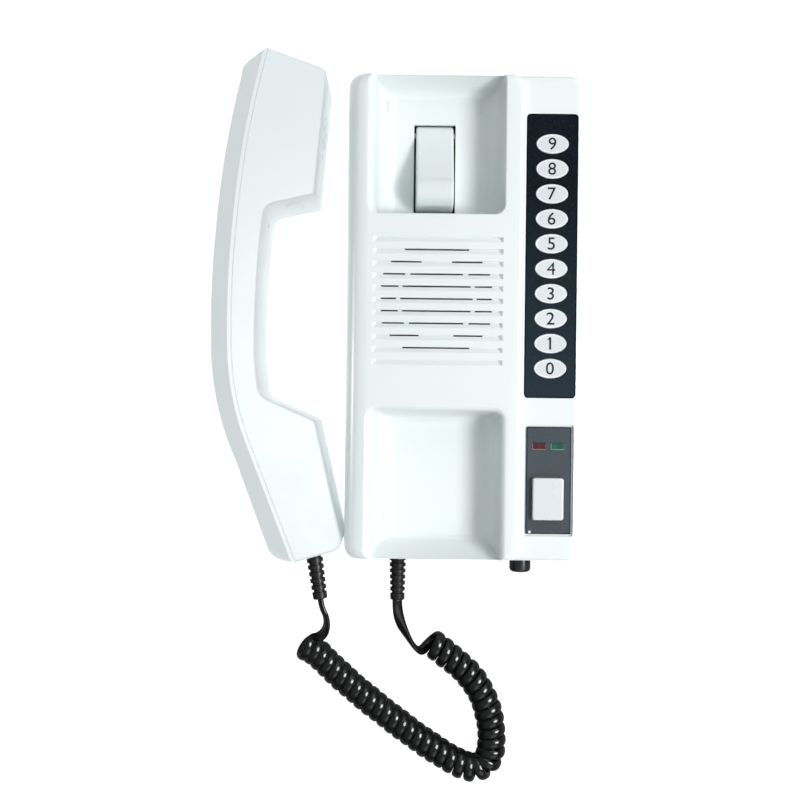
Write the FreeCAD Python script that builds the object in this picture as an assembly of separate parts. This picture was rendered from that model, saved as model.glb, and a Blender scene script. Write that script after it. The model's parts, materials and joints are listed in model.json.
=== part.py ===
import FreeCAD, Part
import math
import os

# Desk intercom: a flat base with two cradle recesses, a louvred loudspeaker grille, ten digit keys
# and a call button, and a telephone handset on a curly cord.
# Millimetres. The base lies on its back: +Z leaves the front, +Y points to the earpiece end, +X to the keys.
# The origin is the centre of the base's back face. The handset lies on its side to the left of the base.

Vector = FreeCAD.Vector
X_AXIS = Vector(1, 0, 0)
Y_AXIS = Vector(0, 1, 0)
Z_AXIS = Vector(0, 0, 1)

# ---------------------------------------------------------------- driving dimensions

# Base housing
BODY_WIDTH = 102.4  # at the parting line
BODY_LENGTH = 210.4  # at the parting line
BODY_HEIGHT = 42.0  # back face to the top of the ridge
PARTING_Z = 18.0  # height of the joint between the two covers
WALL = 2.4
FRONT_DRAFT = 0.063  # sideways run of the front cover's walls for each mm of height
REAR_DRAFT = 0.033
CORNER_R = 4.8
LEFT_ROUND = 8.0  # the soft left shoulder
EDGE_ROUND = 2.2
BACK_ROUND = 1.5
PANEL_DROP = 3.0  # the key panel lies this much below the ridge
PANEL_WIDTH = 26.2  # from the ridge's foot to the right side at the parting line
LIP_HEIGHT = 1.6
LIP_THICK = 1.1
LIP_GAP = 0.15

# Cradle recesses
CRADLE_X = -11.2
CRADLE_WIDTH = 56.0
CRADLE_RISE = 6.0  # the recess floors lie this much above the parting line
CRADLE_SLOPE = math.tan(math.radians(10.0))
CRADLE_FLOOR_R = 8.0
CRADLE_CORNER_R = 4.3
UPPER_EDGE_Y = 44.0
UPPER_END_SLOPE = 0.03
UPPER_END_R = 2.0
UPPER_RIM_R = 0.7
UPPER_RAMP_RUN = 5.0
UPPER_RAMP_DROP = 5.5  # depth left at the open end
LOWER_EDGE_Y = -39.8
LOWER_END_SLOPE = 0.16
LOWER_END_R = 5.0
LOWER_RIM_R = 2.2
LOWER_RAMP_RUN = 8.0
LOWER_RAMP_DROP = 6.8
LEFT_RIM_R = 4.0  # the recesses' left rims run softly into the shoulder
RAMP_FOOT_R = 6.0
RAMP_SINK = 0.03  # the ramps start this much below the floors
RIB_SIZE = (1.0, 4.6, 0.6)  # small locating ribs on the recess floors
RIB_LEFT = 22.1  # from the recess's middle
RIB_RIGHT = 18.0
RIB_INSETS = (12.2, 18.2)  # from the upper and the lower end of the base

# Loudspeaker grille
GRILLE_X0 = -39.4
GRILLE_X1 = 16.3
GRILLE_ROWS = 11
GRILLE_TOP_Y = 34.1
GRILLE_PITCH = 5.24
GROOVE_HEIGHT = 2.3
GROOVE_DEPTH = 1.5
GROOVE_LIP = 0.6  # depth at the shallow side
GROOVE_RAMP = 1.7
SPEAKER_X = -12.0
SPEAKER_Y = 7.4
SLIT_HEIGHT = 0.6
SLIT_REACH = 25.2
SLIT_HALF_WIDTH = 23.7
RING_R0 = 15.5
RING_R1 = 17.2

# Hook lever
HOOK_X = -13.0
HOOK_WIDTH = 16.4
HOOK_WALL = 2.0
SLOT_WIDTH = 18.2
SLOT_Y0 = 45.0
SLOT_Y1 = 85.4
HOOK_AXIS_Y = 81.2
HOOK_AXIS_DROP = 3.6  # from the recess floor down to the hinge
HOOK_NOSE_R = 4.0
HOOK_HUMP_RISE = 12.0  # from the recess floor up to the crest
HOOK_TRAVEL_DEG = 14.0
PIN_R = 1.25
PIN_FIT = 0.05
EAR_THICK = 3.0

# Digit keys and their fascia
KEY_INSET = 14.2  # from the right side to the keys' middle
KEY_PITCH = 10.68
KEY_COUNT = 10
KEY_WIDTH = 13.75
KEY_HEIGHT = 8.3
KEY_GAP = 0.2
KEY_PROUD = 0.35
KEY_TRAVEL = 0.6
KEY_FLANGE = 0.9
FASCIA_WIDTH = 22.2
FASCIA_HEAD = 12.9  # blank fascia past the middle of the first key
FASCIA_TAIL = 12.68
FASCIA_THICK = 0.7
FASCIA_PROUD = 0.1
FASCIA_R = 1.7
DOME_R = 3.2
DOME_HEIGHT = 2.0
MAT_THICK = 0.8

# Call panel
CALL_SHIFT = -0.05  # from the keys' middle
CALL_WIDTH = 19.3
CALL_LENGTH = 45.9
CALL_BORDER = 0.9
CALL_RECESS = 1.0
CALL_THICK = 0.6
BUTTON_SHIFT = -0.4
BUTTON_FOOT = 15.1  # from the panel's lower end to the button's middle
BUTTON_WIDTH = 13.2
BUTTON_LENGTH = 18.0
BUTTON_RISE = 2.6
BUTTON_TRAVEL = 1.5
BUTTON_GAP = 0.25
LAMP_SHIFTS = (-4.4, 3.6)
LAMP_HEAD = 8.4  # from the panel's upper end
LAMP_SIZE = (6.0, 3.0)

# Boards and what stands on them
BOARD_THICK = 1.6
MAIN_BOARD_Z = 6.0
MAIN_BOARD_INSET = 11.2  # from the covers' outside
BOARD_POST_INSETS = (4.5, 6.0)  # from the board's long and short sides
KEY_BOARD_LEFT = 11.4  # from the keys' middle
KEY_BOARD_RIGHT = 10.0
KEY_BOARD_OVER = (1.0, 3.9)  # past the call panel and past the key fascia
KEY_SCREW_INSET = 3.6
COVER_BOSS_INSET = 6.8
COVER_BOSS_R = 3.0
COVER_BOSS_FOOT = 9.0
SCREW_FIT = 0.03
SHIELD_SIZE = (30.0, 28.0, 5.6)
SHIELD_WALL = 0.4

# Volume control
VOLUME_SHIFT = -9.4  # from the keys' middle
VOLUME_Z = 13.0
KNOB_R = 4.75
KNOB_LENGTH = 6.6
KNOB_GAP = 0.5
SHAFT_R = 2.0
BUSHING_R = 3.0

# Power inlet
INLET_SHIFT = -7.0  # from the keys' middle
INLET_Z = 12.8
INLET_R = 3.8
INLET_BORE_R = 2.9
INLET_PIN_R = 1.0

# Feet and wall fixing
FOOT_R = 5.0
FOOT_PROUD = 0.8
FOOT_SINK = 0.6
FOOT_INSETS = (9.2, 23.2)  # from the long and the short sides
KEYHOLE_Y = 60.0
KEYHOLE_HEAD_R = 4.2
KEYHOLE_SHANK_R = 2.2
KEYHOLE_RUN = 8.0

# Handset, drawn on its side: x to the caps' faces, y to the earpiece, z across its width
HANDSET_AT = (-89.3, 8.0)
HANDSET_LEAN_DEG = 2.9
HANDSET_WIDTH = 48.0
SHELL_STEP = 0.3  # the front shell's sides lie this much inside the back shell's rim
SHELL_WALL = 2.2
SHELL_GROOVE = (0.45, 0.6)  # width and depth of the shadow line beside the parting line
HANDSET_EDGE_R = 1.0

# Cord
CORD_R = 2.0
COIL_R = 6.2
BOOT_ROOT_R = 3.7
BOOT_TIP_R = 3.15
BOOT_RIBS = 6
BOOT_LENGTH = 19.2
BASE_CORD_X = -27.2

# ---------------------------------------------------------------- derived places

TABLE_Z = -FOOT_PROUD
PANEL_Z = BODY_HEIGHT - PANEL_DROP
RIDGE_RIGHT = BODY_WIDTH / 2 - PANEL_WIDTH
CRADLE_FLOOR_Z = PARTING_Z + CRADLE_RISE
CRADLE_DEPTH = BODY_HEIGHT - CRADLE_FLOOR_Z
HOOK_AXIS_Z = CRADLE_FLOOR_Z - HOOK_AXIS_DROP
HOOK_HUMP_Z = CRADLE_FLOOR_Z + HOOK_HUMP_RISE
HANDSET_Z = TABLE_Z + HANDSET_WIDTH / 2
FASCIA_LENGTH = FASCIA_HEAD + (KEY_COUNT - 1) * KEY_PITCH + FASCIA_TAIL
PANEL_SLACK = BODY_LENGTH - FASCIA_LENGTH - CALL_LENGTH  # blank panel above, between and below the two
FASCIA_Y1 = BODY_LENGTH / 2 - PANEL_SLACK * 0.414
FASCIA_Y0 = FASCIA_Y1 - FASCIA_LENGTH
CALL_Y0 = -BODY_LENGTH / 2 + PANEL_SLACK * 0.299
CALL_Y1 = CALL_Y0 + CALL_LENGTH
KEY_X = BODY_WIDTH / 2 - KEY_INSET
KEY_TOP_Y = FASCIA_Y1 - FASCIA_HEAD
CALL_X = KEY_X + CALL_SHIFT
BUTTON_X = KEY_X + BUTTON_SHIFT
BUTTON_Y = CALL_Y0 + BUTTON_FOOT
LAMP_XS = [KEY_X + shift for shift in LAMP_SHIFTS]
LAMP_Y = CALL_Y1 - LAMP_HEAD
FASCIA_TOP = PANEL_Z + FASCIA_PROUD
FASCIA_FLOOR = FASCIA_TOP - FASCIA_THICK
PANEL_UNDER = PANEL_Z - WALL
FLANGE_TOP = PANEL_UNDER - 0.15
DOME_TOP = FLANGE_TOP - KEY_FLANGE - KEY_TRAVEL - 0.15
KEY_BOARD_TOP = DOME_TOP - DOME_HEIGHT - MAT_THICK
CALL_FLOOR = PANEL_Z - CALL_RECESS
MAIN_TOP = MAIN_BOARD_Z + BOARD_THICK
MAIN_BOARD_HALF_X = BODY_WIDTH / 2 - MAIN_BOARD_INSET
MAIN_BOARD_HALF_Y = BODY_LENGTH / 2 - MAIN_BOARD_INSET
BOARD_POST_X = MAIN_BOARD_HALF_X - BOARD_POST_INSETS[0]
BOARD_POST_Y = MAIN_BOARD_HALF_Y - BOARD_POST_INSETS[1]
KEY_BOARD_X0 = KEY_X - KEY_BOARD_LEFT
KEY_BOARD_X1 = KEY_X + KEY_BOARD_RIGHT
KEY_BOARD_Y0 = CALL_Y0 - KEY_BOARD_OVER[0]
KEY_BOARD_Y1 = FASCIA_Y1 + KEY_BOARD_OVER[1]
COVER_BOSS_X = BODY_WIDTH / 2 - COVER_BOSS_INSET
COVER_BOSS_Y = BODY_LENGTH / 2 - COVER_BOSS_INSET
FOOT_X = BODY_WIDTH / 2 - FOOT_INSETS[0]
FOOT_Y = BODY_LENGTH / 2 - FOOT_INSETS[1]
VOLUME_X = KEY_X + VOLUME_SHIFT
INLET_X = KEY_X + INLET_SHIFT
PLATE_UNDER = BODY_HEIGHT - WALL


# ---------------------------------------------------------------- helpers


def box(x0, x1, y0, y1, z0, z1):
    return Part.makeBox(x1 - x0, y1 - y0, z1 - z0, Vector(x0, y0, z0))


def rod(centre, radius, length, axis=Z_AXIS):
    return Part.makeCylinder(radius, length, Vector(*centre), axis)


def corner_points(before, corner, after, radius):
    """Start, middle and end of the arc that rounds a corner between two straight runs."""
    back = (before - corner).normalize()
    ahead = (after - corner).normalize()
    half = back.getAngle(ahead) / 2
    inward = (back + ahead).normalize()
    reach = radius / math.tan(half)
    middle = corner + inward * (radius / math.sin(half) - radius)
    return corner + back * reach, middle, corner + ahead * reach


def rounded_edges(points, radii, closed):
    """Straight runs joined by tangent arcs. A radius of 0 leaves a corner sharp."""
    count = len(points)
    ends = []
    for i, (point, radius) in enumerate(zip(points, radii)):
        inner = closed or 0 < i < count - 1
        if inner and radius > 0:
            ends.append(corner_points(points[i - 1], point, points[(i + 1) % count], radius))
        else:
            ends.append((point, None, point))
    edges = []
    for i, (start, middle, end) in enumerate(ends):
        if middle is not None:
            edges.append(Part.Arc(start, middle, end).toShape())
        if i + 1 < count or closed:
            edges.append(Part.LineSegment(end, ends[(i + 1) % count][0]).toShape())
    return edges


def round_rect(x0, x1, y0, y1, radius, z):
    """A rectangle with round corners, as a closed wire of eight edges at height z."""
    corners = [Vector(x0, y0, z), Vector(x1, y0, z), Vector(x1, y1, z), Vector(x0, y1, z)]
    return Part.Wire(rounded_edges(corners, [radius] * 4, True))


def slab(x0, x1, y0, y1, radius, z0, z1):
    return Part.Face(round_rect(x0, x1, y0, y1, radius, z0)).extrude(Vector(0, 0, z1 - z0))


def stack(sections):
    """A solid through rounded rectangles, each given as x0, x1, y0, y1, radius, z."""
    return Part.makeLoft([round_rect(*s) for s in sections], True, True)


def profile_x(points, x0, x1, radii=None):
    """A closed outline in Y and Z, swept along X."""
    corners = [Vector(x0, y, z) for y, z in points]
    edges = rounded_edges(corners, radii or [0] * len(points), True)
    return Part.Face(Part.Wire(edges)).extrude(Vector(x1 - x0, 0, 0))


def turned(points, centre, axis=Z_AXIS):
    """A closed outline of radius and height, spun about the axis through centre."""
    corners = [Vector(r, 0, z) for r, z in points]
    face = Part.Face(Part.makePolygon(corners + corners[:1]))
    solid = face.revolve(Vector(0, 0, 0), Z_AXIS, 360)
    solid.Placement = FreeCAD.Placement(Vector(*centre), FreeCAD.Rotation(Z_AXIS, axis))
    return solid


def arc_inset(radius, depth):
    """How far a rounded edge has pulled in at this depth below its crest."""
    if depth >= radius:
        return 0.0
    return radius - math.sqrt(radius**2 - (radius - depth) ** 2)


def arc_depths(radius, steps):
    """Depths below the crest of a rounded edge at equal angles."""
    return [radius * (1 - math.sin(math.pi / 2 * k / steps)) for k in range(steps + 1)]


def thinned(heights, least=0.12):
    """Sorted heights, leaving out any that lies almost on the one before or on the last."""
    ordered = sorted(heights)
    kept = ordered[:1]
    for height in ordered[1:-1]:
        if height - kept[-1] > least and ordered[-1] - height > least:
            kept.append(height)
    return kept + ordered[-1:]


def fused(shapes):
    return shapes[0].multiFuse(shapes[1:]).removeSplitter()


def along(start, step, count):
    return [start + step * i for i in range(count)]


def pan_screw(x, y, head_z, head_r, head_h, shank_r, length, up=1):
    """A pan head screw whose head face lies at head_z; up is the way the shank points."""
    axis = Z_AXIS * up
    head = rod((x, y, head_z), head_r, head_h, axis * -1)
    crest = head.Edges[0].BoundBox.ZMin if up > 0 else head.Edges[0].BoundBox.ZMax
    rims = [e for e in head.Edges if len(e.Vertexes) == 1 and abs(e.BoundBox.ZMin - (head_z - up * head_h)) < 1e-6]
    head = head.makeFillet(head_h * 0.45, rims)
    return fused([head, rod((x, y, head_z), shank_r, length, axis)])


def save(name, shape):
    shape.exportStep("parts/" + name + ".step")


# ---------------------------------------------------------------- base covers


def crowned_block(x0, x1, top, left_r, edge_r, inset=0.0, floor=PARTING_Z):
    """A drafted block with a soft left shoulder, seen from the front; x0, x1 hold at its top."""
    half_y = BODY_LENGTH / 2 - (top + inset - PARTING_Z) * FRONT_DRAFT - inset
    depths = arc_depths(left_r, 5) + arc_depths(edge_r, 3) + [top - floor]
    sections = []
    for height in thinned(top - d for d in depths):
        depth = top - height
        spread = depth * FRONT_DRAFT
        left = arc_inset(left_r, depth)
        edge = arc_inset(edge_r, depth)
        radius = max(CORNER_R - inset - edge + 0.3 * (left - edge), 0.8)
        sections.append(
            (
                x0 - spread + left,
                x1 + spread - edge,
                -half_y - spread + edge,
                half_y + spread - edge,
                radius,
                height,
            )
        )
    return stack(sections)


def front_outside():
    ridge_half = BODY_WIDTH / 2 - (BODY_HEIGHT - PARTING_Z) * FRONT_DRAFT
    panel_half = BODY_WIDTH / 2 - (PANEL_Z - PARTING_Z) * FRONT_DRAFT
    main = crowned_block(-ridge_half, RIDGE_RIGHT, BODY_HEIGHT, LEFT_ROUND, EDGE_ROUND)
    panel = crowned_block(CRADLE_X, panel_half, PANEL_Z, EDGE_ROUND, EDGE_ROUND)
    return fused([main, panel])


def front_inside():
    """The room inside the front cover, from just below the parting line."""
    ridge_half = BODY_WIDTH / 2 - (BODY_HEIGHT - PARTING_Z) * FRONT_DRAFT
    panel_half = BODY_WIDTH / 2 - (PANEL_Z - PARTING_Z) * FRONT_DRAFT
    floor = PARTING_Z - 1
    main = crowned_block(
        -ridge_half + WALL, RIDGE_RIGHT - WALL, PLATE_UNDER, LEFT_ROUND - WALL, 0.8, WALL, floor
    )
    panel = crowned_block(CRADLE_X, panel_half - WALL, PANEL_UNDER, 0.8, 0.8, WALL, floor)
    return fused([main, panel])


def recess(inner_y, way, end_slope, end_r, rim_r, ramp_run, ramp_drop, grow=0.0):
    """A cradle recess, open at the end of the base that way points to. grow makes its outer wall."""
    floor = CRADLE_FLOOR_Z - grow
    floor_r = CRADLE_FLOOR_R + grow
    half = CRADLE_WIDTH / 2 + grow
    far_y = BODY_LENGTH / 2 + 12
    rim = BODY_HEIGHT
    left_r = LEFT_RIM_R if rim_r else 0.0
    depths = [-2.0, CRADLE_DEPTH + grow]
    for radius in (rim_r, left_r):
        depths += [radius * (1 - math.cos(math.pi / 2 * k / 4)) for k in range(5)]
    depths += [CRADLE_DEPTH + grow - d for d in arc_depths(floor_r, 5)]
    depths += [CRADLE_DEPTH + grow - d for d in arc_depths(end_r + grow, 3)]
    sections = []
    for height in thinned(rim - d for d in depths):
        depth = max(rim - height, 0.0)
        flare = arc_inset(rim_r, depth)
        foot = depth * CRADLE_SLOPE + arc_inset(floor_r, height - floor)
        side = flare - foot
        left = arc_inset(left_r, depth) - foot
        end = flare - depth * end_slope - arc_inset(end_r + grow, height - floor)
        radius = max(CRADLE_CORNER_R + grow + flare - 0.12 * depth, 1.0)
        near = (inner_y - way * (end + grow)) * way
        ys = sorted((way * near, way * far_y))
        sections.append(
            (CRADLE_X - half - left, CRADLE_X + half + side, ys[0], ys[1], radius, height)
        )
    room = stack(sections)
    return room.cut(ramp(way, ramp_run, ramp_drop, grow))


def ramp(way, run, drop, grow):
    """The ground under a recess's open end, which rises from the floor to the end wall."""
    end_y = BODY_LENGTH / 2 - (BODY_HEIGHT - PARTING_Z) * FRONT_DRAFT
    floor = CRADLE_FLOOR_Z - grow
    low_z = floor - 20
    rise = CRADLE_DEPTH - drop
    slope = rise / run
    lead = grow * (math.sqrt(1 + slope**2) - 1) / slope
    start_y = end_y - run + lead
    far_y = end_y + 20
    foot_r = RAMP_FOOT_R + grow
    near_y = start_y - foot_r - 1
    points = [
        (way * near_y, low_z),
        (way * near_y, floor - RAMP_SINK),
        (way * start_y, floor - RAMP_SINK),
        (way * far_y, floor + (far_y - start_y) * slope),
        (way * far_y, low_z),
    ]
    return profile_x(points, -BODY_WIDTH, BODY_WIDTH, [0, 0, foot_r, 0, 0])


UPPER = (UPPER_EDGE_Y, 1, UPPER_END_SLOPE, UPPER_END_R, UPPER_RIM_R, UPPER_RAMP_RUN, UPPER_RAMP_DROP)
LOWER = (LOWER_EDGE_Y, -1, LOWER_END_SLOPE, LOWER_END_R, LOWER_RIM_R, LOWER_RAMP_RUN, LOWER_RAMP_DROP)


def recess_wall(place, outside):
    inner_y, way, end_slope, end_r, _, ramp_run, ramp_drop = place
    wall = recess(inner_y, way, end_slope, end_r, 0.0, ramp_run, ramp_drop, WALL)
    return wall.common(outside)


def groove():
    """One louvre groove at Y 0: deepest at its upper side, with sloping ends."""
    top = BODY_HEIGHT
    over = 1.0
    run = GROOVE_RAMP * (GROOVE_DEPTH + over) / GROOVE_DEPTH
    front = [
        Vector(GRILLE_X0 - run + GROOVE_RAMP, 0, top + over),
        Vector(GRILLE_X1 + run - GROOVE_RAMP, 0, top + over),
        Vector(GRILLE_X1 - GROOVE_RAMP, 0, top - GROOVE_DEPTH),
        Vector(GRILLE_X0 + GROOVE_RAMP, 0, top - GROOVE_DEPTH),
    ]
    ends = Part.Face(Part.makePolygon(front + front[:1])).extrude(Vector(0, -GROOVE_HEIGHT, 0))
    side = profile_x(
        [
            (0, top + over),
            (0, top - GROOVE_DEPTH),
            (-SLIT_HEIGHT, top - GROOVE_DEPTH),
            (-GROOVE_HEIGHT + 0.2, top - GROOVE_LIP),
            (-GROOVE_HEIGHT, top + over),
        ],
        GRILLE_X0 - 4,
        GRILLE_X1 + 4,
    )
    return ends.common(side)


def slits(row_y):
    """The through slits of one grille row: inside a circle, broken by a ring."""
    middle_y = row_y - SLIT_HEIGHT / 2
    dy = middle_y - SPEAKER_Y
    if abs(dy) >= SLIT_REACH - 3:
        return []
    reach = min(SLIT_HALF_WIDTH, math.sqrt(SLIT_REACH**2 - dy**2))
    spans = []
    if abs(dy) < RING_R1:
        outer = math.sqrt(RING_R1**2 - dy**2)
        spans += [(-reach, -outer), (outer, reach)]
        if abs(dy) < RING_R0:
            inner = math.sqrt(RING_R0**2 - dy**2)
            spans.append((-inner, inner))
    else:
        spans.append((-reach, reach))
    return [
        box(
            SPEAKER_X + a,
            SPEAKER_X + b,
            row_y - SLIT_HEIGHT,
            row_y,
            PLATE_UNDER - 1,
            BODY_HEIGHT,
        )
        for a, b in spans
    ]


def key_rows():
    return along(KEY_TOP_Y, -KEY_PITCH, KEY_COUNT)


def oval(x, y, width, height, z0, z1):
    ellipse = Part.Ellipse(Vector(x, y, z0), width / 2, height / 2).toShape()
    return Part.Face(Part.Wire(ellipse)).extrude(Vector(0, 0, z1 - z0))


def key_board_screw_places():
    """One screw past each end of the fascias and two between them."""
    between = (CALL_Y1 + FASCIA_Y0) / 2
    ends = [(BUTTON_X, KEY_BOARD_Y1 - KEY_SCREW_INSET), (BUTTON_X, KEY_BOARD_Y0 + KEY_SCREW_INSET - 0.4)]
    return ends + [(KEY_X - 8.4, between), (KEY_X + 7.0, between)]


def clip_places():
    """Where the loudspeaker's clips stand: place and angle of each."""
    reach = SLIT_REACH + 5.4
    places = []
    for angle in (60.0, 120.0, 240.0, 300.0):
        turn = math.radians(angle)
        places.append((SPEAKER_X + reach * math.cos(turn), SPEAKER_Y + reach * math.sin(turn), angle))
    return places


def cover_boss_places():
    return [(sx * COVER_BOSS_X, sy * COVER_BOSS_Y) for sx in (-1, 1) for sy in (-1, 1)]


def cord_notch(radius):
    y0 = -BODY_LENGTH / 2 - 2
    return rod((BASE_CORD_X, y0, PARTING_Z), radius, WALL + 4, Y_AXIS)


def make_front_cover():
    outside = front_outside()
    shell = outside.cut(front_inside())
    shell = fused([shell, recess_wall(UPPER, outside), recess_wall(LOWER, outside)])

    # posts, ears and the loudspeaker's locating ring, all on the inside
    posts = []
    for x, y in cover_boss_places():
        posts.append(rod((x, y, COVER_BOSS_FOOT), COVER_BOSS_R, PLATE_UNDER - COVER_BOSS_FOOT))
    for x, y in key_board_screw_places():
        posts.append(rod((x, y, KEY_BOARD_TOP), 2.4, PANEL_UNDER - KEY_BOARD_TOP + 1))
    for x, y, _ in clip_places():
        posts.append(rod((x, y, PLATE_UNDER - 1.4), 3.0, 2.0))
    ring_foot = (SPEAKER_X, SPEAKER_Y, PLATE_UNDER - 1.2)
    posts.append(rod(ring_foot, 27.4, 2.0).cut(rod(ring_foot, 26.1, 2.0)))
    for side in (-1, 1):
        near = HOOK_X + side * SLOT_WIDTH / 2
        xs = sorted((near, near + side * EAR_THICK))
        ear_top = CRADLE_FLOOR_Z - WALL + 0.5
        ear = [
            (HOOK_AXIS_Y - 4.0, ear_top),
            (HOOK_AXIS_Y - 4.0, HOOK_AXIS_Z - 3.6),
            (HOOK_AXIS_Y + 4.0, HOOK_AXIS_Z - 3.6),
            (HOOK_AXIS_Y + 4.0, ear_top),
        ]
        posts.append(profile_x(ear, xs[0], xs[1], [0, 2.5, 2.5, 0]))
    shell = fused([shell] + [post.common(outside) if post.BoundBox.ZMax > PANEL_Z else post for post in posts])

    cuts = [recess(*UPPER), recess(*LOWER)]
    slot_x0 = HOOK_X - SLOT_WIDTH / 2
    cuts.append(box(slot_x0, slot_x0 + SLOT_WIDTH, SLOT_Y0, SLOT_Y1, PARTING_Z, BODY_HEIGHT + 1))
    pin_x0 = slot_x0 - EAR_THICK - 1
    cuts.append(rod((pin_x0, HOOK_AXIS_Y, HOOK_AXIS_Z), PIN_R + SCREW_FIT, SLOT_WIDTH + 2 * EAR_THICK + 2, X_AXIS))

    one_groove = groove()
    for row_y in along(GRILLE_TOP_Y, -GRILLE_PITCH, GRILLE_ROWS):
        cuts.append(one_groove.translated(Vector(0, row_y, 0)))
        cuts.extend(slits(row_y))

    # key fascia's bed and key holes
    x0 = KEY_X - FASCIA_WIDTH / 2
    cuts.append(slab(x0, x0 + FASCIA_WIDTH, FASCIA_Y0, FASCIA_Y1, FASCIA_R, FASCIA_FLOOR, PANEL_Z + 2))
    for y in key_rows():
        cuts.append(oval(KEY_X, y, KEY_WIDTH + 2 * KEY_GAP, KEY_HEIGHT + 2 * KEY_GAP, PANEL_UNDER - 1, PANEL_Z))

    # call panel's bed, lamp holes and button hole
    edge = CALL_BORDER
    cuts.append(
        slab(
            CALL_X - CALL_WIDTH / 2 - edge,
            CALL_X + CALL_WIDTH / 2 + edge,
            CALL_Y0 - edge,
            CALL_Y1 + edge,
            1.2,
            CALL_FLOOR,
            PANEL_Z + 2,
        )
    )
    for x in LAMP_XS:
        cuts.append(lamp_block(x, 0.1, PANEL_UNDER - 1, PANEL_Z))
    cuts.append(button_block(BUTTON_GAP, 1.2, PANEL_UNDER - 1, PANEL_Z))

    # screw holes
    for x, y in cover_boss_places():
        cuts.append(rod((x, y, COVER_BOSS_FOOT - 1), 1.22 + SCREW_FIT, 14.0))
    for x, y in key_board_screw_places():
        cuts.append(rod((x, y, KEY_BOARD_TOP - 1), 1.0 + SCREW_FIT, 4.8))
    for x, y, _ in clip_places():
        cuts.append(rod((x, y, PLATE_UNDER - 2), 0.9 + SCREW_FIT, 2.6))

    # seat for the rear cover's lip, and the cord's notch
    cuts.append(lip_ring(LIP_GAP))
    cuts.append(cord_notch(BOOT_TIP_R + 0.05))
    shell = shell.cut(fused(cuts[:2])).cut(Part.makeCompound(cuts[2:]))

    # locating ribs on the recess floors
    rib_ys = (BODY_LENGTH / 2 - RIB_INSETS[0], RIB_INSETS[1] - BODY_LENGTH / 2)
    ribs = [rib(x, y) for x in (CRADLE_X - RIB_LEFT, CRADLE_X + RIB_RIGHT) for y in rib_ys]
    return fused([shell] + ribs)


def rib(x, y):
    """A low rib that stands on a recess's floor fillet, seated a little into the wall under it."""
    width, length, rise = RIB_SIZE
    middle = CRADLE_X
    offset = abs(x - middle)
    flat = CRADLE_WIDTH / 2 - CRADLE_DEPTH * CRADLE_SLOPE - CRADLE_FLOOR_R
    climb = arc_inset(CRADLE_FLOOR_R, CRADLE_FLOOR_R - max(offset - flat, 0.0))
    base = CRADLE_FLOOR_Z + climb
    return slab(x - width / 2, x + width / 2, y - length / 2, y + length / 2, 0.4, base - 1.2, base + rise)


def lip_ring(gap):
    """The ring by which the covers locate each other, grown by gap to make its seat."""
    outer = 1.2 - gap
    inner = outer + LIP_THICK + 2 * gap
    half_x = BODY_WIDTH / 2
    half_y = BODY_LENGTH / 2
    z0 = PARTING_Z - 0.5
    z1 = PARTING_Z + LIP_HEIGHT + gap
    ring = slab(outer - half_x, half_x - outer, outer - half_y, half_y - outer, CORNER_R - outer, z0, z1)
    return ring.cut(
        slab(inner - half_x, half_x - inner, inner - half_y, half_y - inner, CORNER_R - inner, z0 - 1, z1 + 1)
    )


def make_rear_cover():
    def ring(inset, radius, z):
        half_x = BODY_WIDTH / 2 - (PARTING_Z - z) * REAR_DRAFT - inset
        half_y = BODY_LENGTH / 2 - (PARTING_Z - z) * REAR_DRAFT - inset
        return (-half_x, half_x, -half_y, half_y, radius, z)

    outer = [ring(arc_inset(BACK_ROUND, d), CORNER_R, d) for d in sorted(arc_depths(BACK_ROUND, 3))]
    outer.append(ring(0.0, CORNER_R, PARTING_Z))
    tray = stack(outer)
    room = stack([ring(WALL, CORNER_R - WALL, WALL), ring(WALL, CORNER_R - WALL, PARTING_Z + 1)])
    tray = tray.cut(room)

    added = [lip_ring(0.0)]
    for x, y in cover_boss_places():
        added.append(rod((x, y, 1.0), COVER_BOSS_R + 1.2, COVER_BOSS_FOOT - 1.0))
    for x, y in board_post_places():
        added.append(rod((x, y, 1.0), 3.0, MAIN_BOARD_Z - 1.0))
    added.append(spring_post())
    # a ledge behind each keyhole keeps the wall screw's head off the boards
    tray = fused([tray] + added)

    cuts = [cord_notch(BOOT_TIP_R + 0.05)]
    for x, y in cover_boss_places():
        cuts.append(rod((x, y, -1), 3.2, 4.5))
        cuts.append(rod((x, y, 0), 1.6, COVER_BOSS_FOOT + 1))
    for x, y in board_post_places():
        cuts.append(rod((x, y, 2.0), 1.1 + SCREW_FIT, 10))
    for y in (-KEYHOLE_Y, KEYHOLE_Y):
        cuts.append(keyhole(y))
    for x, y in foot_places():
        cuts.append(rod((x, y, -1), FOOT_R + 0.1, 1 + FOOT_SINK))
    wall_y = BODY_LENGTH / 2
    cuts.append(rod((VOLUME_X, -wall_y - 2, VOLUME_Z), BUSHING_R + 0.2, WALL + 4, Y_AXIS))
    cuts.append(rod((INLET_X, wall_y - WALL - 2, INLET_Z), INLET_R + 0.2, WALL + 4, Y_AXIS))
    return tray.cut(fused(cuts))


def board_post_places():
    return [(sx * BOARD_POST_X, sy * BOARD_POST_Y) for sx in (-1, 1) for sy in (-1, 1)]


def foot_places():
    return [(sx * FOOT_X, sy * FOOT_Y) for sx in (-1, 1) for sy in (-1, 1)]


def keyhole(y):
    """A wall fixing keyhole on the centreline: round for the head, and a slot above it for the shank."""
    entry = rod((0, y, -1), KEYHOLE_HEAD_R, WALL + 2)
    half = KEYHOLE_SHANK_R
    slot = slab(-half, half, y - 1, y + KEYHOLE_RUN, half * 0.99, -1, WALL + 1)
    return entry.fuse(slot)


SPRING_Y = 68.0
SPRING_R = 2.6
SPRING_WIRE = 0.5
SPRING_SEAT_Z = 12.0


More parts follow.
